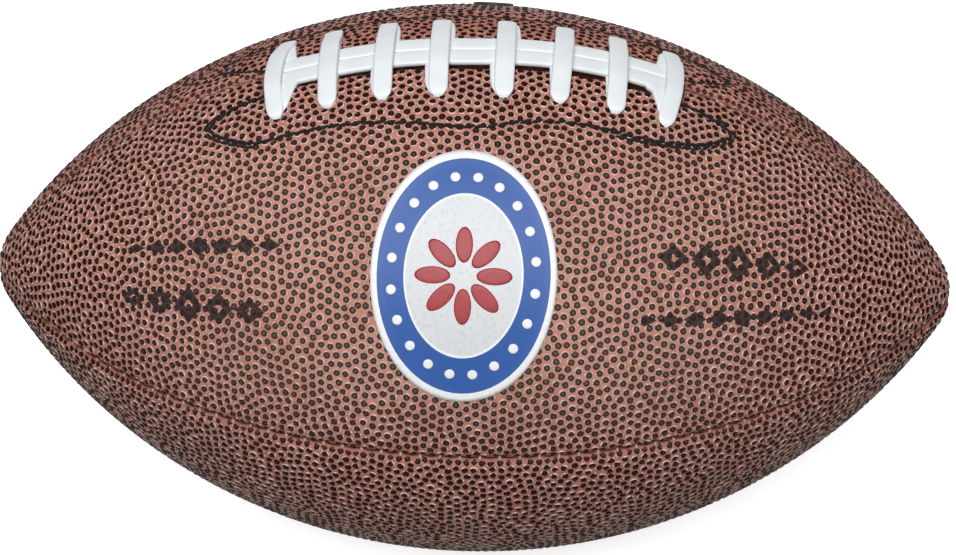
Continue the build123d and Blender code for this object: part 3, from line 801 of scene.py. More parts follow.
print("pale rims reach to, mm:", round(PALE_FROM / MM, 2))

# %% [markdown]
# Dark ink sits on the pebbles' tops, as if a roller had passed over the grain. Its edge is a distance from
# the pebble's centre, frayed by fine noise and a little different from pebble to pebble. Each inked top has
# a slightly paler centre, a painted highlight, and on the lit front the ink is greyer, a painted sheen,
# with a grey painted highlight in its centre. A painted picture could show the same, but a distance stays
# sharp at any size.

# %% Ink on the pebbles
INK = (0.016, 0.005, 0.0026, 1)
# Painted highlight in the centre of each inked top.
INK_HIGHLIGHT = (0.036, 0.018, 0.013, 1)
# On the lit front: greyer ink, a painted sheen, and a grey painted highlight in its centre.
INK_LIT = (0.056, 0.036, 0.029, 1)
INK_LIT_HIGHLIGHT = (0.33, 0.295, 0.265, 1)
INK_SOFT = 0.1 * MM
DOME_FOOT = 0.02
FRAY_SCALE = 1500
FRAY_REACH = 0.25 * MM
TONE_REACH = 0.14 * MM
# How far the painted highlight spreads from a pebble's centre, and its least strength.
HIGHLIGHT_FROM = 0.62 * MM
HIGHLIGHT_TO = 0.05 * MM
HIGHLIGHT_LEAST = 0.4


def ink_edge(tree, tone):
    """Distance from a pebble's centre, frayed, and larger or smaller by the pebble's tone."""
    offset = carried(tree, "from_centre", "Vector")
    spread = add(tree, "ShaderNodeVectorMath", {"operation": "LENGTH"}, i0=offset).outputs["Value"]
    noise = object_noise(tree, FRAY_SCALE, detail=3)
    fray = maths(tree, "MULTIPLY", maths(tree, "SUBTRACT", noise, 0.5), FRAY_REACH)
    swell = maths(tree, "MULTIPLY", maths(tree, "SUBTRACT", tone, 0.5), TONE_REACH)
    return maths(tree, "ADD", maths(tree, "ADD", spread, fray), swell)


def ink_share(tree, edge, dome):
    """1 on the inked tops and 0 between them."""
    top = ramp_between(tree, edge, INK_RADIUS + INK_SOFT, INK_RADIUS - INK_SOFT)
    top = maths(tree, "MULTIPLY", top, maths(tree, "GREATER_THAN", dome, DOME_FOOT))
    return maths(tree, "MULTIPLY", top, carried(tree, "wear"))


def ink_colour(tree, edge, tone):
    """Dark ink, or greyer ink as a painted sheen on the lit front, both with a paler centre as a painted
    highlight.
    """
    # Painted highlight, paler towards each pebble's centre.
    highlight_share = ramp_between(tree, edge, HIGHLIGHT_FROM, HIGHLIGHT_TO)
    most = maths(tree, "ADD", maths(tree, "MULTIPLY", tone, 1 - HIGHLIGHT_LEAST), HIGHLIGHT_LEAST)
    highlight_share = maths(tree, "MULTIPLY", highlight_share, most)
    # Ink away from the lit front, with its weak painted highlight.
    fresh = mix_colours(tree, highlight_share, INK, INK_HIGHLIGHT)
    wear_and_highlight = mix_colours(tree, highlight_share, INK_LIT, INK_LIT_HIGHLIGHT)
    return mix_colours(tree, carried(tree, "lit_front"), fresh, wear_and_highlight)


print("inked tops are about", round(2 * INK_RADIUS / MM, 2), "mm across")

# %% [markdown]
# The upper front panel also has stamped bands of lozenges in dark ink, two to the left and two to the
# right of the badge. They are worked out from each vertex's place on the ball, by folding the band onto
# one lozenge and measuring how far a point lies from its middle, so they follow the curve of the leather.
# A row is a station, an angle, half the row's length, its pitch and its height, in mm and degrees.

# %% Stamped bands
STAMP_INK = (0.026, 0.02, 0.02, 1)
STAMP_ROWS = [
    (-75, 46.5, 27, 7.2, 3.4), (-78, 61, 24, 9.6, 6.8), (76, 46.5, 24, 9.6, 6.8), (78, 60, 30, 7.2, 3.4),
]
LOZENGE_HALF = 0.47
LOZENGE_RIM = (1.06, 0.94)
EYE_RIM = (0.36, 0.28)
EYED_FROM = 5


def stamped_bands(tree):
    """Share of stamp ink: rows of lozenges, smaller to both ends, the tall ones with a bare eye."""
    along = carried(tree, "along")
    down = carried(tree, "round")
    total = 0.0
    for station, angle, half, pitch, tall in STAMP_ROWS:
        side = maths(tree, "ABSOLUTE", maths(tree, "SUBTRACT", along, station * MM))
        drop = maths(tree, "ABSOLUTE", maths(tree, "SUBTRACT", down, math.radians(angle) * BELLY))
        count = maths(tree, "ROUND", maths(tree, "DIVIDE", side, pitch * MM))
        centre = maths(tree, "MULTIPLY", count, pitch * MM)
        aside = maths(tree, "ABSOLUTE", maths(tree, "SUBTRACT", side, centre))
        taper = maths(tree, "SUBTRACT", 1.0, maths(tree, "MULTIPLY", centre, 0.5 / (half * MM)))
        upright = maths(tree, "DIVIDE", drop, maths(tree, "MULTIPLY", taper, tall * MM))
        reach = maths(tree, "ADD", maths(tree, "DIVIDE", aside, LOZENGE_HALF * pitch * MM), upright)
        lozenge = ramp_between(tree, reach, *LOZENGE_RIM)
        eye = ramp_between(tree, reach, *EYE_RIM) if tall > EYED_FROM else 0.0
        inside = maths(tree, "LESS_THAN", side, half * MM)
        share = maths(tree, "MULTIPLY", maths(tree, "SUBTRACT", lozenge, eye), inside)
        total = maths(tree, "MAXIMUM", share, total)
    return total


print("stamped rows:", len(STAMP_ROWS))

# %% [markdown]
# Now the parts of the finish come together: the tan body, the ink over it, the painted shade in the seams,
# round the lace holes and under the lace and, on one panel, the stamp. The ink is smoother than the tan.
# The shine is kept very low, because this leather is waxed and dull, and against white paper even a faint
# shine would turn the ball grey.

# %% Leather finish
# Dark colour of the painted shade in the seams, round the lace holes and under the lace.
PAINTED_SHADE_COLOUR = (0.028, 0.009, 0.007, 1)
STAMP_SHARE = 0.93
TAN_ROUGHNESS = 0.6
INK_SMOOTHER = 0.29
LEATHER_SHINE = 0.015
PORE_SCALE = 2200


def leather_finish(name, stamped):
    """Tan leather with inked pebble tops, and with stamped bands if asked."""
    finish, tree, surface = start_finish(name)
    dome = carried(tree, "dome")
    tone = carried(tree, "tone")
    edge = ink_edge(tree, tone)
    ink = ink_share(tree, edge, dome)
    colour = mix_colours(tree, ink, leather_body(tree, edge, dome), ink_colour(tree, edge, tone))
    # Painted shade: the dark colour goes in the seams, round the lace holes and under the lace.
    colour = mix_colours(tree, carried(tree, "painted_shade"), colour, PAINTED_SHADE_COLOUR)
    if stamped:
        stamp = maths(tree, "MULTIPLY", stamped_bands(tree), STAMP_SHARE)
        colour = mix_colours(tree, stamp, colour, STAMP_INK)
    tree.links.new(colour, surface.inputs["Base Color"])
    dull(surface, TAN_ROUGHNESS, LEATHER_SHINE)
    gloss = maths(tree, "SUBTRACT", TAN_ROUGHNESS, maths(tree, "MULTIPLY", ink, INK_SMOOTHER))
    tree.links.new(gloss, surface.inputs["Roughness"])
    pores = object_noise(tree, PORE_SCALE, detail=4, roughness=0.6)
    bump(tree, surface, pores, strength=0.35, distance=0.08 * MM)
    return finish


plain_leather = leather_finish("pebbled_leather", False)
stamped_leather = leather_finish("stamped_leather", True)
print("leather finishes:", plain_leather.name, stamped_leather.name)

# %% [markdown]
# A ball is sewn from four panels that are nearly alike. One loop lays them, each a quarter turn on from the
# last, with its own seed so that no two have the same grain. The two upper panels meet at the slit under
# the lace, and the upper back panel has the hole for the valve.

# %% Lay the four panels
QUARTER = math.pi / 2
PANELS = {
    "panel_top_front": (QUARTER / 2, 11, -1, False, stamped_leather),
    "panel_bottom_front": (3 * QUARTER / 2, 23, 0, False, plain_leather),
    "panel_bottom_back": (-3 * QUARTER / 2, 37, 0, False, plain_leather),
    "panel_top_back": (-QUARTER / 2, 53, 1, True, plain_leather),
}


def make_piece(name, bm, finishes):
    """A smooth shaded object from a bmesh, riding on the ball."""
    mesh = bpy.data.meshes.new(name)
    bm.to_mesh(mesh)
    bm.free()
    for finish in finishes:
        mesh.materials.append(finish)
    mesh.polygons.foreach_set("use_smooth", [True] * len(mesh.polygons))
    piece = bpy.data.objects.new(name, mesh)
    scene.collection.objects.link(piece)
    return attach(piece, "ball")


for node, (middle, seed, slit_side, has_valve, leather) in PANELS.items():
    bm, count = panel_mesh(middle, seed, slit_side, has_valve)
    piece = make_piece("leather_" + node, bm, [leather])
    press(piece, middle)
    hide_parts(node)
    print(piece.name, "pebbles", count, "faces", len(piece.data.polygons))

# %% [markdown]
# The lace is smooth white vinyl with a faint lengthwise grain and a little dust. The grain follows the
# lace, so its noise reads each vertex's place along and across the strap, stretched long. Plain object
# coordinates would draw it in one direction only, across some straps and along others.

# %% Lace finish
LACE_WHITE = (0.765, 0.8, 0.82, 1)
LACE_DUSTY = (0.705, 0.74, 0.76, 1)
DUST_SCALE = 160
DUST_SHARE = 0.35
GRAIN_STRETCH = (60, 2600, 1)


def lace_finish():
    """Smooth white lace with a faint lengthwise grain."""
    finish, tree, surface = start_finish("white_lace")
    place = carried(tree, "strand", "Vector")
    stretch = add(tree, "ShaderNodeMapping", None, Vector=place, Scale=GRAIN_STRETCH).outputs[0]
    fibres = add(tree, "ShaderNodeTexNoise", None, Vector=stretch, Scale=1.0, Detail=3.0).outputs["Fac"]
    dust = ramp_between(tree, object_noise(tree, DUST_SCALE, detail=4), low=0.42, high=0.72)
    share = maths(tree, "MULTIPLY", dust, DUST_SHARE)
    tree.links.new(mix_colours(tree, share, LACE_WHITE, LACE_DUSTY), surface.inputs["Base Color"])
    dull(surface, roughness=0.45, shine=0.35)
    bump(tree, surface, fibres, strength=0.25, distance=0.08 * MM)
    return finish


white_lace = lace_finish()
print("lace finish:", white_lace.name)

# %% [markdown]
# Every stretch of the lace is a flat strap. It starts as a flat grid whose length follows a line on the
# ball, gets a slight crown across, and then its thickness. A curve with a bevel would be quicker to set
# up, but it twists where the line turns, and a grid keeps the strap lying on the leather.

# %% Strap along a line
LACE_THICK = 1.7 * MM
LACE_CROWN = 0.25 * MM
STRAP_ROWS = 6
STRAP_EDGE = 0.7
STRAND_STEP = 1.2 * MM


def strap(bm, route, widths, steps):
    """A strap along a route of (station, arc, lift), with a width at each point of the route, in mm."""
    line = smooth_line(np.column_stack([np.asarray(route) * MM, np.asarray(widths) * MM]), steps + 1)
    radius = profile(line[:, 0])[1]
    points = on_ball(line[:, 0], line[:, 1] / radius, line[:, 2])
    above = on_ball(line[:, 0], line[:, 1] / radius, line[:, 2] + 1 * MM)
    ahead = np.gradient(points, axis=0)
    ahead /= np.linalg.norm(ahead, axis=1)[:, None]
    aside = np.cross(ahead, above - points)
    aside /= np.linalg.norm(aside, axis=1)[:, None]
    upward = np.cross(aside, ahead)
    strand = bm.verts.layers.float_vector.get("strand") or bm.verts.layers.float_vector.new("strand")
    before = len(bm.faces)
    made = bmesh.ops.create_grid(bm, x_segments=steps, y_segments=STRAP_ROWS, size=1)["verts"]
    for v in made:
        step = round((v.co.x + 1) / 2 * steps)
        share = math.copysign(abs(v.co.y) ** STRAP_EDGE, v.co.y)
        half = line[step, 3] / 2
        v[strand] = (step * STRAND_STEP, half * share, 0)
        v.co = points[step] + aside[step] * half * share + upward[step] * LACE_CROWN * (1 - share**2)
    faces = bm.faces[before:]
    bmesh.ops.recalc_face_normals(bm, faces=faces)
    if sum(f.normal.dot(f.calc_center_median()) for f in faces) < 0:
        bmesh.ops.reverse_faces(bm, faces=faces)
    bmesh.ops.solidify(bm, geom=faces, thickness=LACE_THICK)


print("lace thickness, mm:", LACE_THICK / MM)

# %% [markdown]
# Eight crosses hold the lace down, each diving into a hole at both ends. Beside most crosses a sliver shows
# of the lace that comes up from below. The routes are short lists of points in millimetres, given one by
# one, because a real lace is pulled by hand too. A point of a cross is an arc from the lacing, a lift and
# a share of the lace's width. A point of a sliver is a share of its shift, an arc and a lift.

# %% Crosses of the lace
HOLE_MM = HOLE_ARC / MM
CROSS_WIDE = 5.7
END_CROSS_WIDE = 5.3
CROSS_STEPS = 48
CROSS_TOP = [(0, 2.7, 1)]
CROSS_SIDE = [(5.5, 2.6, 1), (8.5, 2.15, 1), (12, 1.5, 1)]
FRONT_DIVE = [
    (HOLE_MM - 3, 1.15, 1), (HOLE_MM - 1, 0.85, 0.96),
    (HOLE_MM + 0.4, 0.35, 0.74), (HOLE_MM + 1.2, -0.9, 0.36),
]
BACK_DIVE = [
    (HOLE_MM - 2.2, 1.15, 1), (HOLE_MM - 0.9, 0.95, 0.94),
    (HOLE_MM + 0.1, 0.3, 0.74), (HOLE_MM + 0.3, -1.1, 0.45),
]
SLIVER_ROUTE = [
    (1.3, 5, 0.6), (1.2, 9, 0.75), (1.0, 13, 0.55), (0.8, HOLE_MM - 1.5, 0.3), (0.4, HOLE_MM + 0.2, -1.0),
]
SLIVER_WIDTHS = [5.5, 5.5, 5.4, 4.4, 2.4]
SLIVER_STEPS = 20


def shift_mm(station):
    """The lacing's shift to the front, with the station and the shift in mm."""
    return lace_shift(station * MM) / MM


def lace_cross(bm, station, lean, bulge):
    """One cross from hole to hole, over both runs, leaning along the ball or bulging out."""
    wide = END_CROSS_WIDE if bulge else CROSS_WIDE

    def place(arc, lift, width, side):
        share = arc / HOLE_MM
        along = station + side * lean * share + bulge * (1 - share * share)
        return along, side * arc + shift_mm(station), lift, width * wide

    whole = [place(*point, -1) for point in (CROSS_SIDE + BACK_DIVE)[::-1]]
    whole += [place(*point, 1) for point in CROSS_TOP + CROSS_SIDE + FRONT_DIVE]
    strap(bm, [p[:3] for p in whole], [p[3] for p in whole], CROSS_STEPS)


def lace_under(bm, station, aside, side):
    """The lace that comes up from a hole under a cross, and shows as a sliver beside it."""
    middle = shift_mm(station)
    route = [(station + share * aside, side * arc + middle, lift) for share, arc, lift in SLIVER_ROUTE]
    strap(bm, route, SLIVER_WIDTHS, SLIVER_STEPS)


print("lace crosses:", len(CROSS_STATIONS))

# %% [markdown]
# Two runs of the lace lie side by side over the slit, under the crosses. They could be straight bars, but
# a pulled lace sways a little, and at both ends it turns aside into the last holes. A point of a turn is a
# distance back along the ball, an arc and a lift.

# %% Runs of the lace
RUN_ARC = 3.0
RUN_WIDE = 5.9
RUN_LIFT = 0.75
RUN_END_LIFT = 0.2
RUN_STEPS = 90
RUN_STATIONS = np.array([-56.5, -54, -47, -40, -30, -20, -10, 0, 10, 20, 30, 40, 47, 54, 56.5])
TURN_TUCK = {1: 0.9, -1: 0.3}
TURN_ROUTE = [(5.5, 3.6, 0.7), (3.2, 5.6, 0.95), (2.2, 9, 0.95), (1.3, 13.5, 0.65)]
TURN_END = (0.3, HOLE_MM - 0.2, -0.7)
TURN_WIDTHS = [5.4, 5.3, 4.9, 4.1, 2.2]
TURN_STEPS = 26


def lace_run(bm, side):
    """One lengthwise run between the end crosses, swaying a little over the slit."""
    count = len(RUN_STATIONS)
    lifts = [RUN_END_LIFT] + [RUN_LIFT] * (count - 2) + [RUN_END_LIFT]
    sway = np.interp(RUN_STATIONS * MM, *RUN_SWAY.T) / MM
    arcs = side * RUN_ARC + shift_mm(RUN_STATIONS) + sway
    strap(bm, list(zip(RUN_STATIONS, arcs, lifts)), [RUN_WIDE] * count, RUN_STEPS)


def lace_turn(bm, station, side, way):
    """The end of a run that turns aside into a hole, under an end cross."""
    middle = shift_mm(station)
    route = [(back * TURN_TUCK[side], arc, lift) for back, arc, lift in TURN_ROUTE] + [TURN_END]
    route = [(station - way * back, side * arc + middle, lift) for back, arc, lift in route]
    strap(bm, route, TURN_WIDTHS, TURN_STEPS)


print("lace runs between stations, mm:", RUN_STATIONS[0], RUN_STATIONS[-1])

# %% [markdown]
# All the stretches go into one piece, since they are one lace. No two crosses of a laced ball lean alike,
# and the end crosses bow outward, so each has its own small numbers. A subdivision surface then rounds the
# edges, as moulded lace is round.

# %% Lay the lace
LEANS = [-0.4, 0.4, 0.1, 0.2, 0.0, -0.6, -0.3, -0.9]
BULGES = [-2.0, 0, 0, 0, 0, 0, 0, 1.6]
SLIVERS = [0, 0.2, -0.8, -1.0, -1.2, -0.7, -0.5, 0]
lace_bm = bmesh.new()
for station, lean, bulge, sliver in zip(CROSS_STATIONS / MM, LEANS, BULGES, SLIVERS):
    lace_cross(lace_bm, station, lean, bulge)
    if sliver:
        lace_under(lace_bm, station, sliver, 1)
        lace_under(lace_bm, station, -sliver, -1)
for side in (-1, 1):
    lace_run(lace_bm, side)
    lace_turn(lace_bm, CROSS_STATIONS[0] / MM, side, -1)
    lace_turn(lace_bm, CROSS_STATIONS[-1] / MM, side, 1)
lace = make_piece("white_lacing", lace_bm, [white_lace])
rounding = lace.modifiers.new("rounded_edges", "SUBSURF")
rounding.levels = rounding.render_levels = 1
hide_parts("lace")
print("lace faces before rounding:", len(lace.data.polygons))

# %% [markdown]
# Thread is spun from plies that wind round each other, and light catches each ply. Waves of light and dark
# that run slantwise over the piece, with a fine relief, show that twist without modelling a single fibre.

# %% Thread finish
PLY_SCALE = 420.0


def thread_finish(name, colour, light):
    """Twisted thread, darker between its plies."""
    finish, tree, surface = start_finish(name)
    place = add(tree, "ShaderNodeTexCoord").outputs["Object"]
    twist = {"wave_type": "BANDS", "bands_direction": "DIAGONAL"}
    waves = add(tree, "ShaderNodeTexWave", twist, Vector=place, Scale=PLY_SCALE, Distortion=1.5)
    plies = waves.outputs["Fac"]
    tree.links.new(mix_colours(tree, plies, colour, light), surface.inputs["Base Color"])
    dull(surface, roughness=0.7, shine=0.1)
    bump(tree, surface, plies, strength=0.5, distance=0.1 * MM)
    return finish


black_thread = thread_finish("black_thread", (0.007, 0.007, 0.008, 1), (0.022, 0.021, 0.022, 1))
seam_thread = thread_finish("seam_thread", (0.6, 0.4, 0.35, 1), (0.8, 0.63, 0.57, 1))
print("thread finishes:", black_thread.name, seam_thread.name)

# %% [markdown]
# Black thread sews each lace stay to its panel. From a step away it reads as a line of short slanted
# beads that lie in a crease. Each stitch is a small stretched ball with few faces, because there are
# many. Round the two ends of a stay the line is sewn twice, so that it can't work loose.

# %% Black stitching
STITCH_PITCH = 3.1 * MM
STITCH_LONG = 1.75 * MM
STITCH_WIDE = 0.54 * MM
STITCH_FLAT = 0.9
STITCH_SLANT = math.radians(12)
STITCH_LIFT = {1: -0.15 * MM, -1: -0.55 * MM}
DOUBLE_FROM = {1: 38 * MM, -1: 60 * MM}
DOUBLE_ARC = 11 * MM
DOUBLE_GAP = 1.2 * MM
STAY_MIDDLE = np.array([0.0, 17.0]) * MM


def on_stay(place, side, lift=0.0):
    """Point on the ball at a place on the stitched line."""
    return on_ball(place[0], (side * place[1] + lace_shift(place[0])) / profile(place[0])[1], lift)


def second_row(stitches):
    """Stitches set outward again where the line goes round the two ends of a stay."""
    again = []
    for start, here, end in stitches:
        way = end - start
        outward = np.array([-way[1], way[0]]) / np.linalg.norm(way)
        outward *= math.copysign(DOUBLE_GAP, outward.dot(here - STAY_MIDDLE))
        if abs(here[0]) > DOUBLE_FROM[1 if here[0] > 0 else -1] and here[1] > DOUBLE_ARC:
            again.append([place + outward + way / 2 for place in (start, here, end)])
    return again


def add_stitch(bm, start, here, end, side, slant):
    """One stretched ball along the line, turned by a slant."""
    centre = on_stay(here, side, STITCH_LIFT[side])
    above = (on_stay(here, side, STITCH_LIFT[side] + 1 * MM) - centre) / MM
    ahead = on_stay(end, side) - on_stay(start, side)
    ahead /= np.linalg.norm(ahead)
    aside = np.cross(above, ahead)
    along = ahead * math.cos(slant) + aside * math.sin(slant)
    across = np.cross(above, along)
    across /= np.linalg.norm(across)
    for v in bmesh.ops.create_uvsphere(bm, u_segments=8, v_segments=6, radius=1)["verts"]:
        x, y, z = v.co
        flat = along * z * STITCH_LONG + across * x * STITCH_WIDE
        v.co = centre + flat + above * y * STITCH_WIDE * STITCH_FLAT


print("a black stitch is", 2 * STITCH_LONG / MM, "mm long")

# %% [markdown]
# Now both stays are sewn. The stitches stand at even steps along each line. Every one is turned a little
# differently, by chance from a fixed seed, because sewing by machine is even but never perfect.

# %% Sew the stays
STITCH_WANDER = 0.08
STITCH_SEED = 71
STAYS = {
    "stay_stitching_front": ("front_stay_stitches", 1, FRONT_STAY),
    "stay_stitching_back": ("back_stay_stitches", -1, BACK_STAY),
}
for node, (name, side, corners) in STAYS.items():
    stitch_bm = bmesh.new()
    count = int(path_length(stay_paths[side]) / STITCH_PITCH)
    line = smooth_line(corners, 2 * count + 1)
    stitches = [(line[2 * k], line[2 * k + 1], line[2 * k + 2]) for k in range(count)]
    stitches += second_row(stitches)
    chance = np.random.default_rng(STITCH_SEED)
    for stitch in stitches:
        add_stitch(stitch_bm, *stitch, side, STITCH_SLANT + chance.normal(0, STITCH_WANDER))
    bmesh.ops.recalc_face_normals(stitch_bm, faces=stitch_bm.faces)
    piece = make_piece(name, stitch_bm, [black_thread])
    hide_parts(node)
    print(piece.name, "stitches", len(stitches))

# %% [markdown]
# The badge is a print on thick film. Its colours are slightly crumbled where the film lies on the grain,
# and a fine woven relief catches the light. One function makes all four colours, with more or less weave.

# %% Badge finishes
WEAVE_SCALE = 1600.0
CRUMB_SCALE = 900
CRUMB_SHARE = 0.5


def print_finish(name, colour, darker_tone, weave):
    """Printed colour with a fine raised weave."""
    finish, tree, surface = start_finish(name)
    flat = carried(tree, "flat", "Vector")
    checks = add(tree, "ShaderNodeTexChecker", None, Vector=flat, Scale=WEAVE_SCALE).outputs["Fac"]
    crumbs = object_noise(tree, CRUMB_SCALE, detail=4, roughness=0.65)
    wear_and_highlight = maths(tree, "MULTIPLY", ramp_between(tree, crumbs, low=0.45, high=0.75), CRUMB_SHARE)
    tree.links.new(mix_colours(tree, wear_and_highlight, colour, darker_tone), surface.inputs["Base Color"])
    surface.inputs["Roughness"].default_value = 0.5
    height = maths(tree, "ADD", maths(tree, "MULTIPLY", checks, weave), crumbs)
    bump(tree, surface, height, strength=0.4, distance=0.1 * MM)
    return finish


badge_white = print_finish("badge_white", (0.8, 0.81, 0.82, 1), (0.6, 0.61, 0.63, 1), 0.2)
badge_blue = print_finish("badge_blue", (0.012, 0.075, 0.3, 1), (0.01, 0.055, 0.22, 1), 0.3)
badge_silver = print_finish("badge_silver", (0.62, 0.64, 0.66, 1), (0.42, 0.44, 0.47, 1), 1.0)
badge_red = print_finish("badge_red", (0.3, 0.022, 0.03, 1), (0.2, 0.012, 0.018, 1), 0.3)
print("badge colours:", badge_white.name, badge_blue.name, badge_silver.name, badge_red.name)

# %% [markdown]
# The badge is an oval that is pressed flat on the grain: a white rim, a blue ring and a silvery middle. It
# starts as one spoke of vertices that is spun into a disc, because the rings then fall exactly on the
# colours' borders. The disc is stretched to an oval, laid on the ball and given its thickness.

# %% Badge plate
BADGE_LIFT = 0.22 * MM
BADGE_THICK = 0.5 * MM
BADGE_RIDGE = 0.12 * MM
RIM_FROM = 0.92
LINE_RINGS = (0.62, 0.64)
LINE_SPARE = 0.01
DISC_RINGS = [0.0, 0.14, 0.28, 0.42, 0.56, *LINE_RINGS, 0.74, 0.84, 0.91, 0.93, 0.97, 1.0]
DISC_STEPS = 72
MERGE_NEARNESS = 1e-6


def disc(bm, rings, steps):
    """A flat disc of radius 1 with rings of faces, spun from one spoke."""
    spoke = [bm.verts.new((r, 0, 0)) for r in rings]
    edges = [bm.edges.new((a, b)) for a, b in zip(spoke, spoke[1:])]
    bmesh.ops.spin(
        bm, geom=spoke + edges, axis=(0, 0, 1), cent=(0, 0, 0), angle=2 * math.pi,
        steps=steps, use_merge=True,
    )
    bmesh.ops.remove_doubles(bm, verts=bm.verts, dist=MERGE_NEARNESS)


def lay_on_ball(bm, lift, thickness):
    """Moves a flat piece, its height in z, to the badge's place on the ball, and gives it thickness."""
    flat = bm.verts.layers.float_vector.new("flat")
    for v in bm.verts:
        v[flat] = v.co
        radius = float(profile(v.co.x)[1])
        v.co = on_ball(v.co.x, BADGE_ANGLE - v.co.y / radius, lift + v.co.z)
    bmesh.ops.recalc_face_normals(bm, faces=bm.faces)
    if bm.faces[:][0].normal.y > 0:
        bmesh.ops.reverse_faces(bm, faces=bm.faces)
    bmesh.ops.solidify(bm, geom=bm.faces[:], thickness=thickness)


def badge_plate():
    """The oval plate, its rings coloured from rim to middle."""
    bm = bmesh.new()
    disc(bm, DISC_RINGS, DISC_STEPS)
    inner, outer = LINE_RINGS
    for face in bm.faces:
        far = face.calc_center_median().xy.length
        white = far > RIM_FROM or inner < far < outer
        face.material_index = 0 if white else (1 if far > inner + LINE_SPARE else 2)
    for v in bm.verts:
        far = v.co.xy.length
        ridge = far > RIM_FROM or inner - LINE_SPARE < far < outer + LINE_SPARE
        v.co.z = BADGE_RIDGE if ridge else 0.0
    bmesh.ops.scale(bm, verts=bm.verts, vec=(BADGE_WIDE, BADGE_TALL, 1))
    lay_on_ball(bm, BADGE_LIFT, BADGE_THICK)
    return make_piece("badge_plate", bm, [badge_white, badge_blue, badge_silver])


plate = badge_plate()
print(plate.name, "faces", len(plate.data.polygons))

# %% [markdown]
# Raised ovals ornament the plate: white dots round the blue ring and a red rosette of eight petals. Each is
# a small disc of its own, stretched, turned and moved to its place while it is still flat. They are all
# laid on the ball in the same way as the plate, so that they follow its curve.

# %% Badge marks
MARK_RINGS = [0.0, 0.5, 0.85, 1.0]
MARK_STEPS = 20
MARK_FLAT = 0.9
MARK_HEIGHT = 0.1 * MM
MARK_THICK = 0.35 * MM
DOT_COUNT = 20
DOT_RADIUS = 1.35 * MM
DOT_RING = 0.78
PETAL_COUNT = 8
PETAL_PLACE = 8.2 * MM
PETAL_LONG = 4.8 * MM
PETAL_WIDE = 2.3 * MM


def badge_mark(x, y, wide, tall, turn):
    """A mesh of one raised oval on the plate."""
    bm = bmesh.new()
    disc(bm, MARK_RINGS, MARK_STEPS)
    for v in bm.verts:
        v.co.z = MARK_HEIGHT if v.co.xy.length < MARK_FLAT else 0.0
    bmesh.ops.scale(bm, verts=bm.verts, vec=(wide, tall, 1))
    bmesh.ops.rotate(bm, verts=bm.verts, cent=(0, 0, 0), matrix=Matrix.Rotation(turn, 3, "Z"))
    bmesh.ops.translate(bm, verts=bm.verts, vec=(x, y, 0))
    lay_on_ball(bm, BADGE_LIFT + BADGE_RIDGE, MARK_THICK)
    mesh = bpy.data.meshes.new("mark")
    bm.to_mesh(mesh)
    bm.free()
    return mesh


def badge_marks(name, marks, finish):
    """One piece of several raised ovals."""
    whole = bmesh.new()
    for mark in marks:
        mesh = badge_mark(*mark)
        whole.from_mesh(mesh)
        bpy.data.meshes.remove(mesh)
    piece = make_piece(name, whole, [finish])
    print(piece.name, "faces", len(piece.data.polygons))


dots = []
for k in range(DOT_COUNT):
    turn = 2 * math.pi * (k + 0.5) / DOT_COUNT
    x, y = DOT_RING * BADGE_WIDE * math.cos(turn), DOT_RING * BADGE_TALL * math.sin(turn)
    dots.append((x, y, DOT_RADIUS, DOT_RADIUS, 0.0))
petals = []
for k in range(PETAL_COUNT):
    turn = 2 * math.pi * k / PETAL_COUNT
    x, y = PETAL_PLACE * math.cos(turn), PETAL_PLACE * math.sin(turn)
    petals.append((x, y, PETAL_LONG, PETAL_WIDE, turn))
badge_marks("badge_dots", dots, badge_white)
badge_marks("badge_rosette", petals, badge_red)

# %% [markdown]
# The rest of the frame keeps its own shape and gets a finish: pale seam thread, woven lining and stays,
# felt, and black rubber for the bladder and the valve. Most of it lies hidden inside, but it is still
# dressed, because someone may open the ball. Two waves that cross make a weave, and noise makes the dull
# bloom of old rubber.

# %% Finishes of the frame's own pieces
def cloth_finish(name, colour, darker_tone, fineness):
    """Plain woven cloth, of finer threads as the fineness rises."""
    finish, tree, surface = start_finish(name)
    place = add(tree, "ShaderNodeTexCoord").outputs["Object"]
    warp = add(tree, "ShaderNodeTexWave", {"bands_direction": "X"}, Vector=place, Scale=fineness)
    weft = add(tree, "ShaderNodeTexWave", {"bands_direction": "Y"}, Vector=place, Scale=fineness)
    weave = maths(tree, "MULTIPLY", warp.outputs["Fac"], weft.outputs["Fac"])
    tree.links.new(mix_colours(tree, weave, darker_tone, colour), surface.inputs["Base Color"])
    surface.inputs["Roughness"].default_value = 0.85
    bump(tree, surface, weave, strength=0.5, distance=0.2 * MM)
    return finish


def rubber_finish(name, colour, dust, roughness):
    """Soft rubber with a dull bloom and fine pits."""
    finish, tree, surface = start_finish(name)
    bloom = ramp_between(tree, object_noise(tree, scale=260, detail=4), low=0.4, high=0.75)
    tree.links.new(mix_colours(tree, bloom, colour, dust), surface.inputs["Base Color"])
    dull(surface, roughness, shine=0.25)
    pits = object_noise(tree, scale=1800, detail=3)
    bump(tree, surface, pits, strength=0.2, distance=0.1 * MM)
    return finish


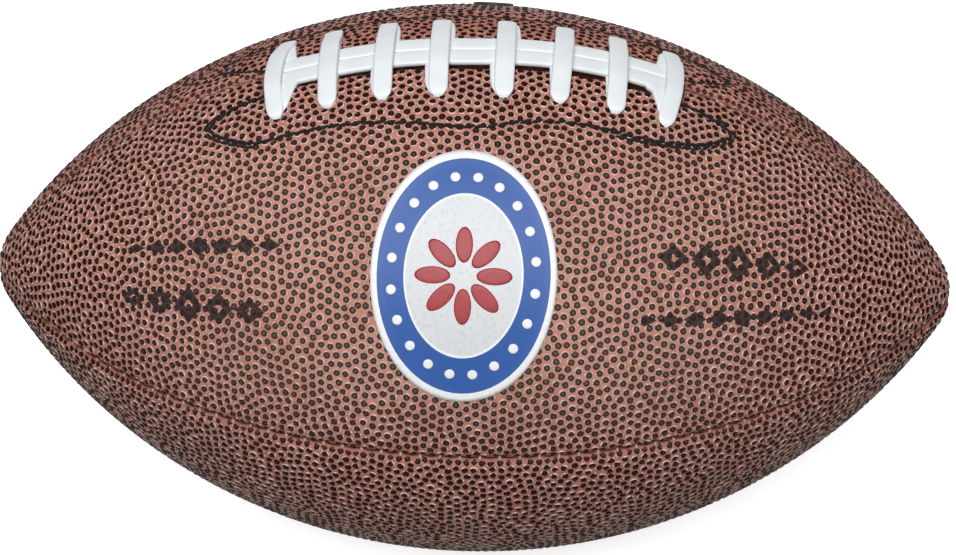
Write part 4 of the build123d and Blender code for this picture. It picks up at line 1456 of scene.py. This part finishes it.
lining_cloth = cloth_finish("lining_cloth", (0.55, 0.5, 0.42, 1), (0.4, 0.36, 0.3, 1), 300)
stay_cloth = cloth_finish("stay_cloth", (0.34, 0.2, 0.13, 1), (0.2, 0.11, 0.07, 1), 350)
tongue_felt = cloth_finish("tongue_felt", (0.12, 0.1, 0.09, 1), (0.07, 0.06, 0.055, 1), 500)
bladder_rubber = rubber_finish("bladder_rubber", (0.02, 0.02, 0.022, 1), (0.05, 0.05, 0.05, 1), 0.5)
valve_rubber = rubber_finish("valve_rubber", (0.012, 0.012, 0.013, 1), (0.03, 0.03, 0.031, 1), 0.45)
plug_rubber = rubber_finish("plug_rubber", (0.02, 0.019, 0.019, 1), (0.045, 0.043, 0.042, 1), 0.55)
NODE_FINISHES = {
    "panel": plain_leather, "lace": white_lace, "stay_stitching": black_thread, "seam_thread": seam_thread,
    "lining": lining_cloth, "lace_stay": stay_cloth, "tongue": tongue_felt, "bladder": bladder_rubber,
    "valve_patch": bladder_rubber, "valve_housing": valve_rubber, "valve_plug": plug_rubber,
}
for name, node in sorted(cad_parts.items()):
    start = max((key for key in NODE_FINISHES if name.startswith(key)), key=len)
    node.data.materials.clear()
    node.data.materials.append(NODE_FINISHES[start])
print("finishes given to", len(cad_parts), "nodes")

# %% [markdown]
# A photographer would lay the ball on white paper. The floor is white paper that still takes the ball's
# shadow. To the camera, and to rays that come off gloss or through glass, it also glows, so that it reads
# as plain white. To all other rays it is darker, so that it doesn't light up the ball's belly too much.

# %% Floor
FLOOR_SIZE = 6.0
FLOOR_GAP = 0.05 * MM
FLOOR_GLOW = 0.72
FLOOR_BOUNCE = (0.17, 0.165, 0.16, 1)
PAPER = (0.9, 0.9, 0.9, 1)
PAPER_SPECK = (0.88, 0.88, 0.88, 1)


def plain_rays(tree):
    """1 for the rays that see a plain white ground: from the camera, off gloss and through glass."""
    rays = add(tree, "ShaderNodeLightPath").outputs
    seen = maths(tree, "MAXIMUM", rays["Is Camera Ray"], rays["Is Glossy Ray"])
    return maths(tree, "MAXIMUM", seen, rays["Is Transmission Ray"])


def paper_finish():
    """White paper that the camera sees as white, with the shadow kept."""
    finish, tree, surface = start_finish("white_paper")
    fibres = ramp_between(tree, object_noise(tree, scale=30, detail=3), low=0.3, high=0.7)
    seen = plain_rays(tree)
    shade = mix_colours(tree, seen, FLOOR_BOUNCE, mix_colours(tree, fibres, PAPER, PAPER_SPECK))
    tree.links.new(shade, surface.inputs["Base Color"])
    surface.inputs["Roughness"].default_value = 0.9
    surface.inputs["Emission Color"].default_value = (1, 1, 1, 1)
    tree.links.new(maths(tree, "MULTIPLY", seen, FLOOR_GLOW), surface.inputs["Emission Strength"])
    return finish


floor_bm = bmesh.new()
bmesh.ops.create_grid(floor_bm, x_segments=8, y_segments=8, size=FLOOR_SIZE / 2)
bmesh.ops.translate(floor_bm, verts=floor_bm.verts, vec=(0, 0, cad_box[0].z - FLOOR_GAP))
floor_mesh = bpy.data.meshes.new("paper_floor")
floor_bm.to_mesh(floor_mesh)
floor_bm.free()
floor_mesh.materials.append(paper_finish())
floor = bpy.data.objects.new("paper_floor", floor_mesh)
scene.collection.objects.link(floor)
print("floor height, mm:", round(cad_box[0].z / MM, 2))

# %% [markdown]
# One wide lamp stands over the camera's shoulder, so the side that faces the camera is the brightest and
# both the crown and the belly fall away. A weaker lamp behind the ball keeps its far side readable. The
# sky fills the rest faintly, and like the floor it is white to the camera, to gloss and to glass.

# %% Light
SKY_FILL = 0.08
LAMP_DISTANCE = 1.6
LAMPS = {"key_lamp": (-4, 53, 1.1, 29.6), "back_lamp": (176, 6, 1.0, 7)}


def toward(azimuth, elevation):
    """Direction from the ball to a lamp or a camera, by its angles in degrees."""
    a, e = math.radians(azimuth), math.radians(elevation)
    return Vector((math.sin(a) * math.cos(e), -math.cos(a) * math.cos(e), math.sin(e)))


def soft_lamp(name, azimuth, elevation, size, power):
    """A square soft lamp that looks at the ball."""
    lamp = bpy.data.lights.new(name, "AREA")
    lamp.size = size
    lamp.energy = power
    lamp_object = bpy.data.objects.new(name, lamp)
    back = toward(azimuth, elevation)
    lamp_object.location = back * LAMP_DISTANCE
    lamp_object.rotation_mode = "QUATERNION"
    lamp_object.rotation_quaternion = (-back).to_track_quat("-Z", "Y")
    scene.collection.objects.link(lamp_object)
    return lamp_object


lamps = {name: soft_lamp(name, *sizes) for name, sizes in LAMPS.items()}
lamps["back_lamp"].visible_glossy = False
sky = bpy.data.worlds.new("studio_sky")
sky.use_nodes = True
ground = sky.node_tree.nodes["Background"]
ground.inputs["Color"].default_value = (1, 1, 1, 1)
white = maths(sky.node_tree, "MULTIPLY", plain_rays(sky.node_tree), 1 - SKY_FILL)
sky.node_tree.links.new(maths(sky.node_tree, "ADD", white, SKY_FILL), ground.inputs["Strength"])
scene.world = sky
print("lamps:", list(lamps))

# %% [markdown]
# The camera looks down at the ball from a little above its shoulder. Its distance and lens were found from
# the ball's outline, and a small shift and roll set the ball where it lies in the picture.

# %% Camera
CAMERA_AZIMUTH = 2.1
CAMERA_ELEVATION = 37.9
CAMERA_DISTANCE = 720 * MM
CAMERA_LENS = 91.3
CAMERA_SENSOR = 36
CAMERA_ROLL = 0.45
CAMERA_SHIFT = 0.0061
camera_data = bpy.data.cameras.new("studio_camera")
camera_data.lens = CAMERA_LENS
camera_data.sensor_width = CAMERA_SENSOR
camera_data.shift_x = CAMERA_SHIFT
camera = bpy.data.objects.new("studio_camera", camera_data)
back = toward(CAMERA_AZIMUTH, CAMERA_ELEVATION)
camera.location = back * CAMERA_DISTANCE
camera.rotation_mode = "QUATERNION"
aim = (-back).to_track_quat("-Z", "Y")
camera.rotation_quaternion = aim @ Quaternion((0, 0, 1), math.radians(CAMERA_ROLL))
scene.collection.objects.link(camera)
scene.camera = camera
print("camera at, mm:", [round(c / MM) for c in camera.location])
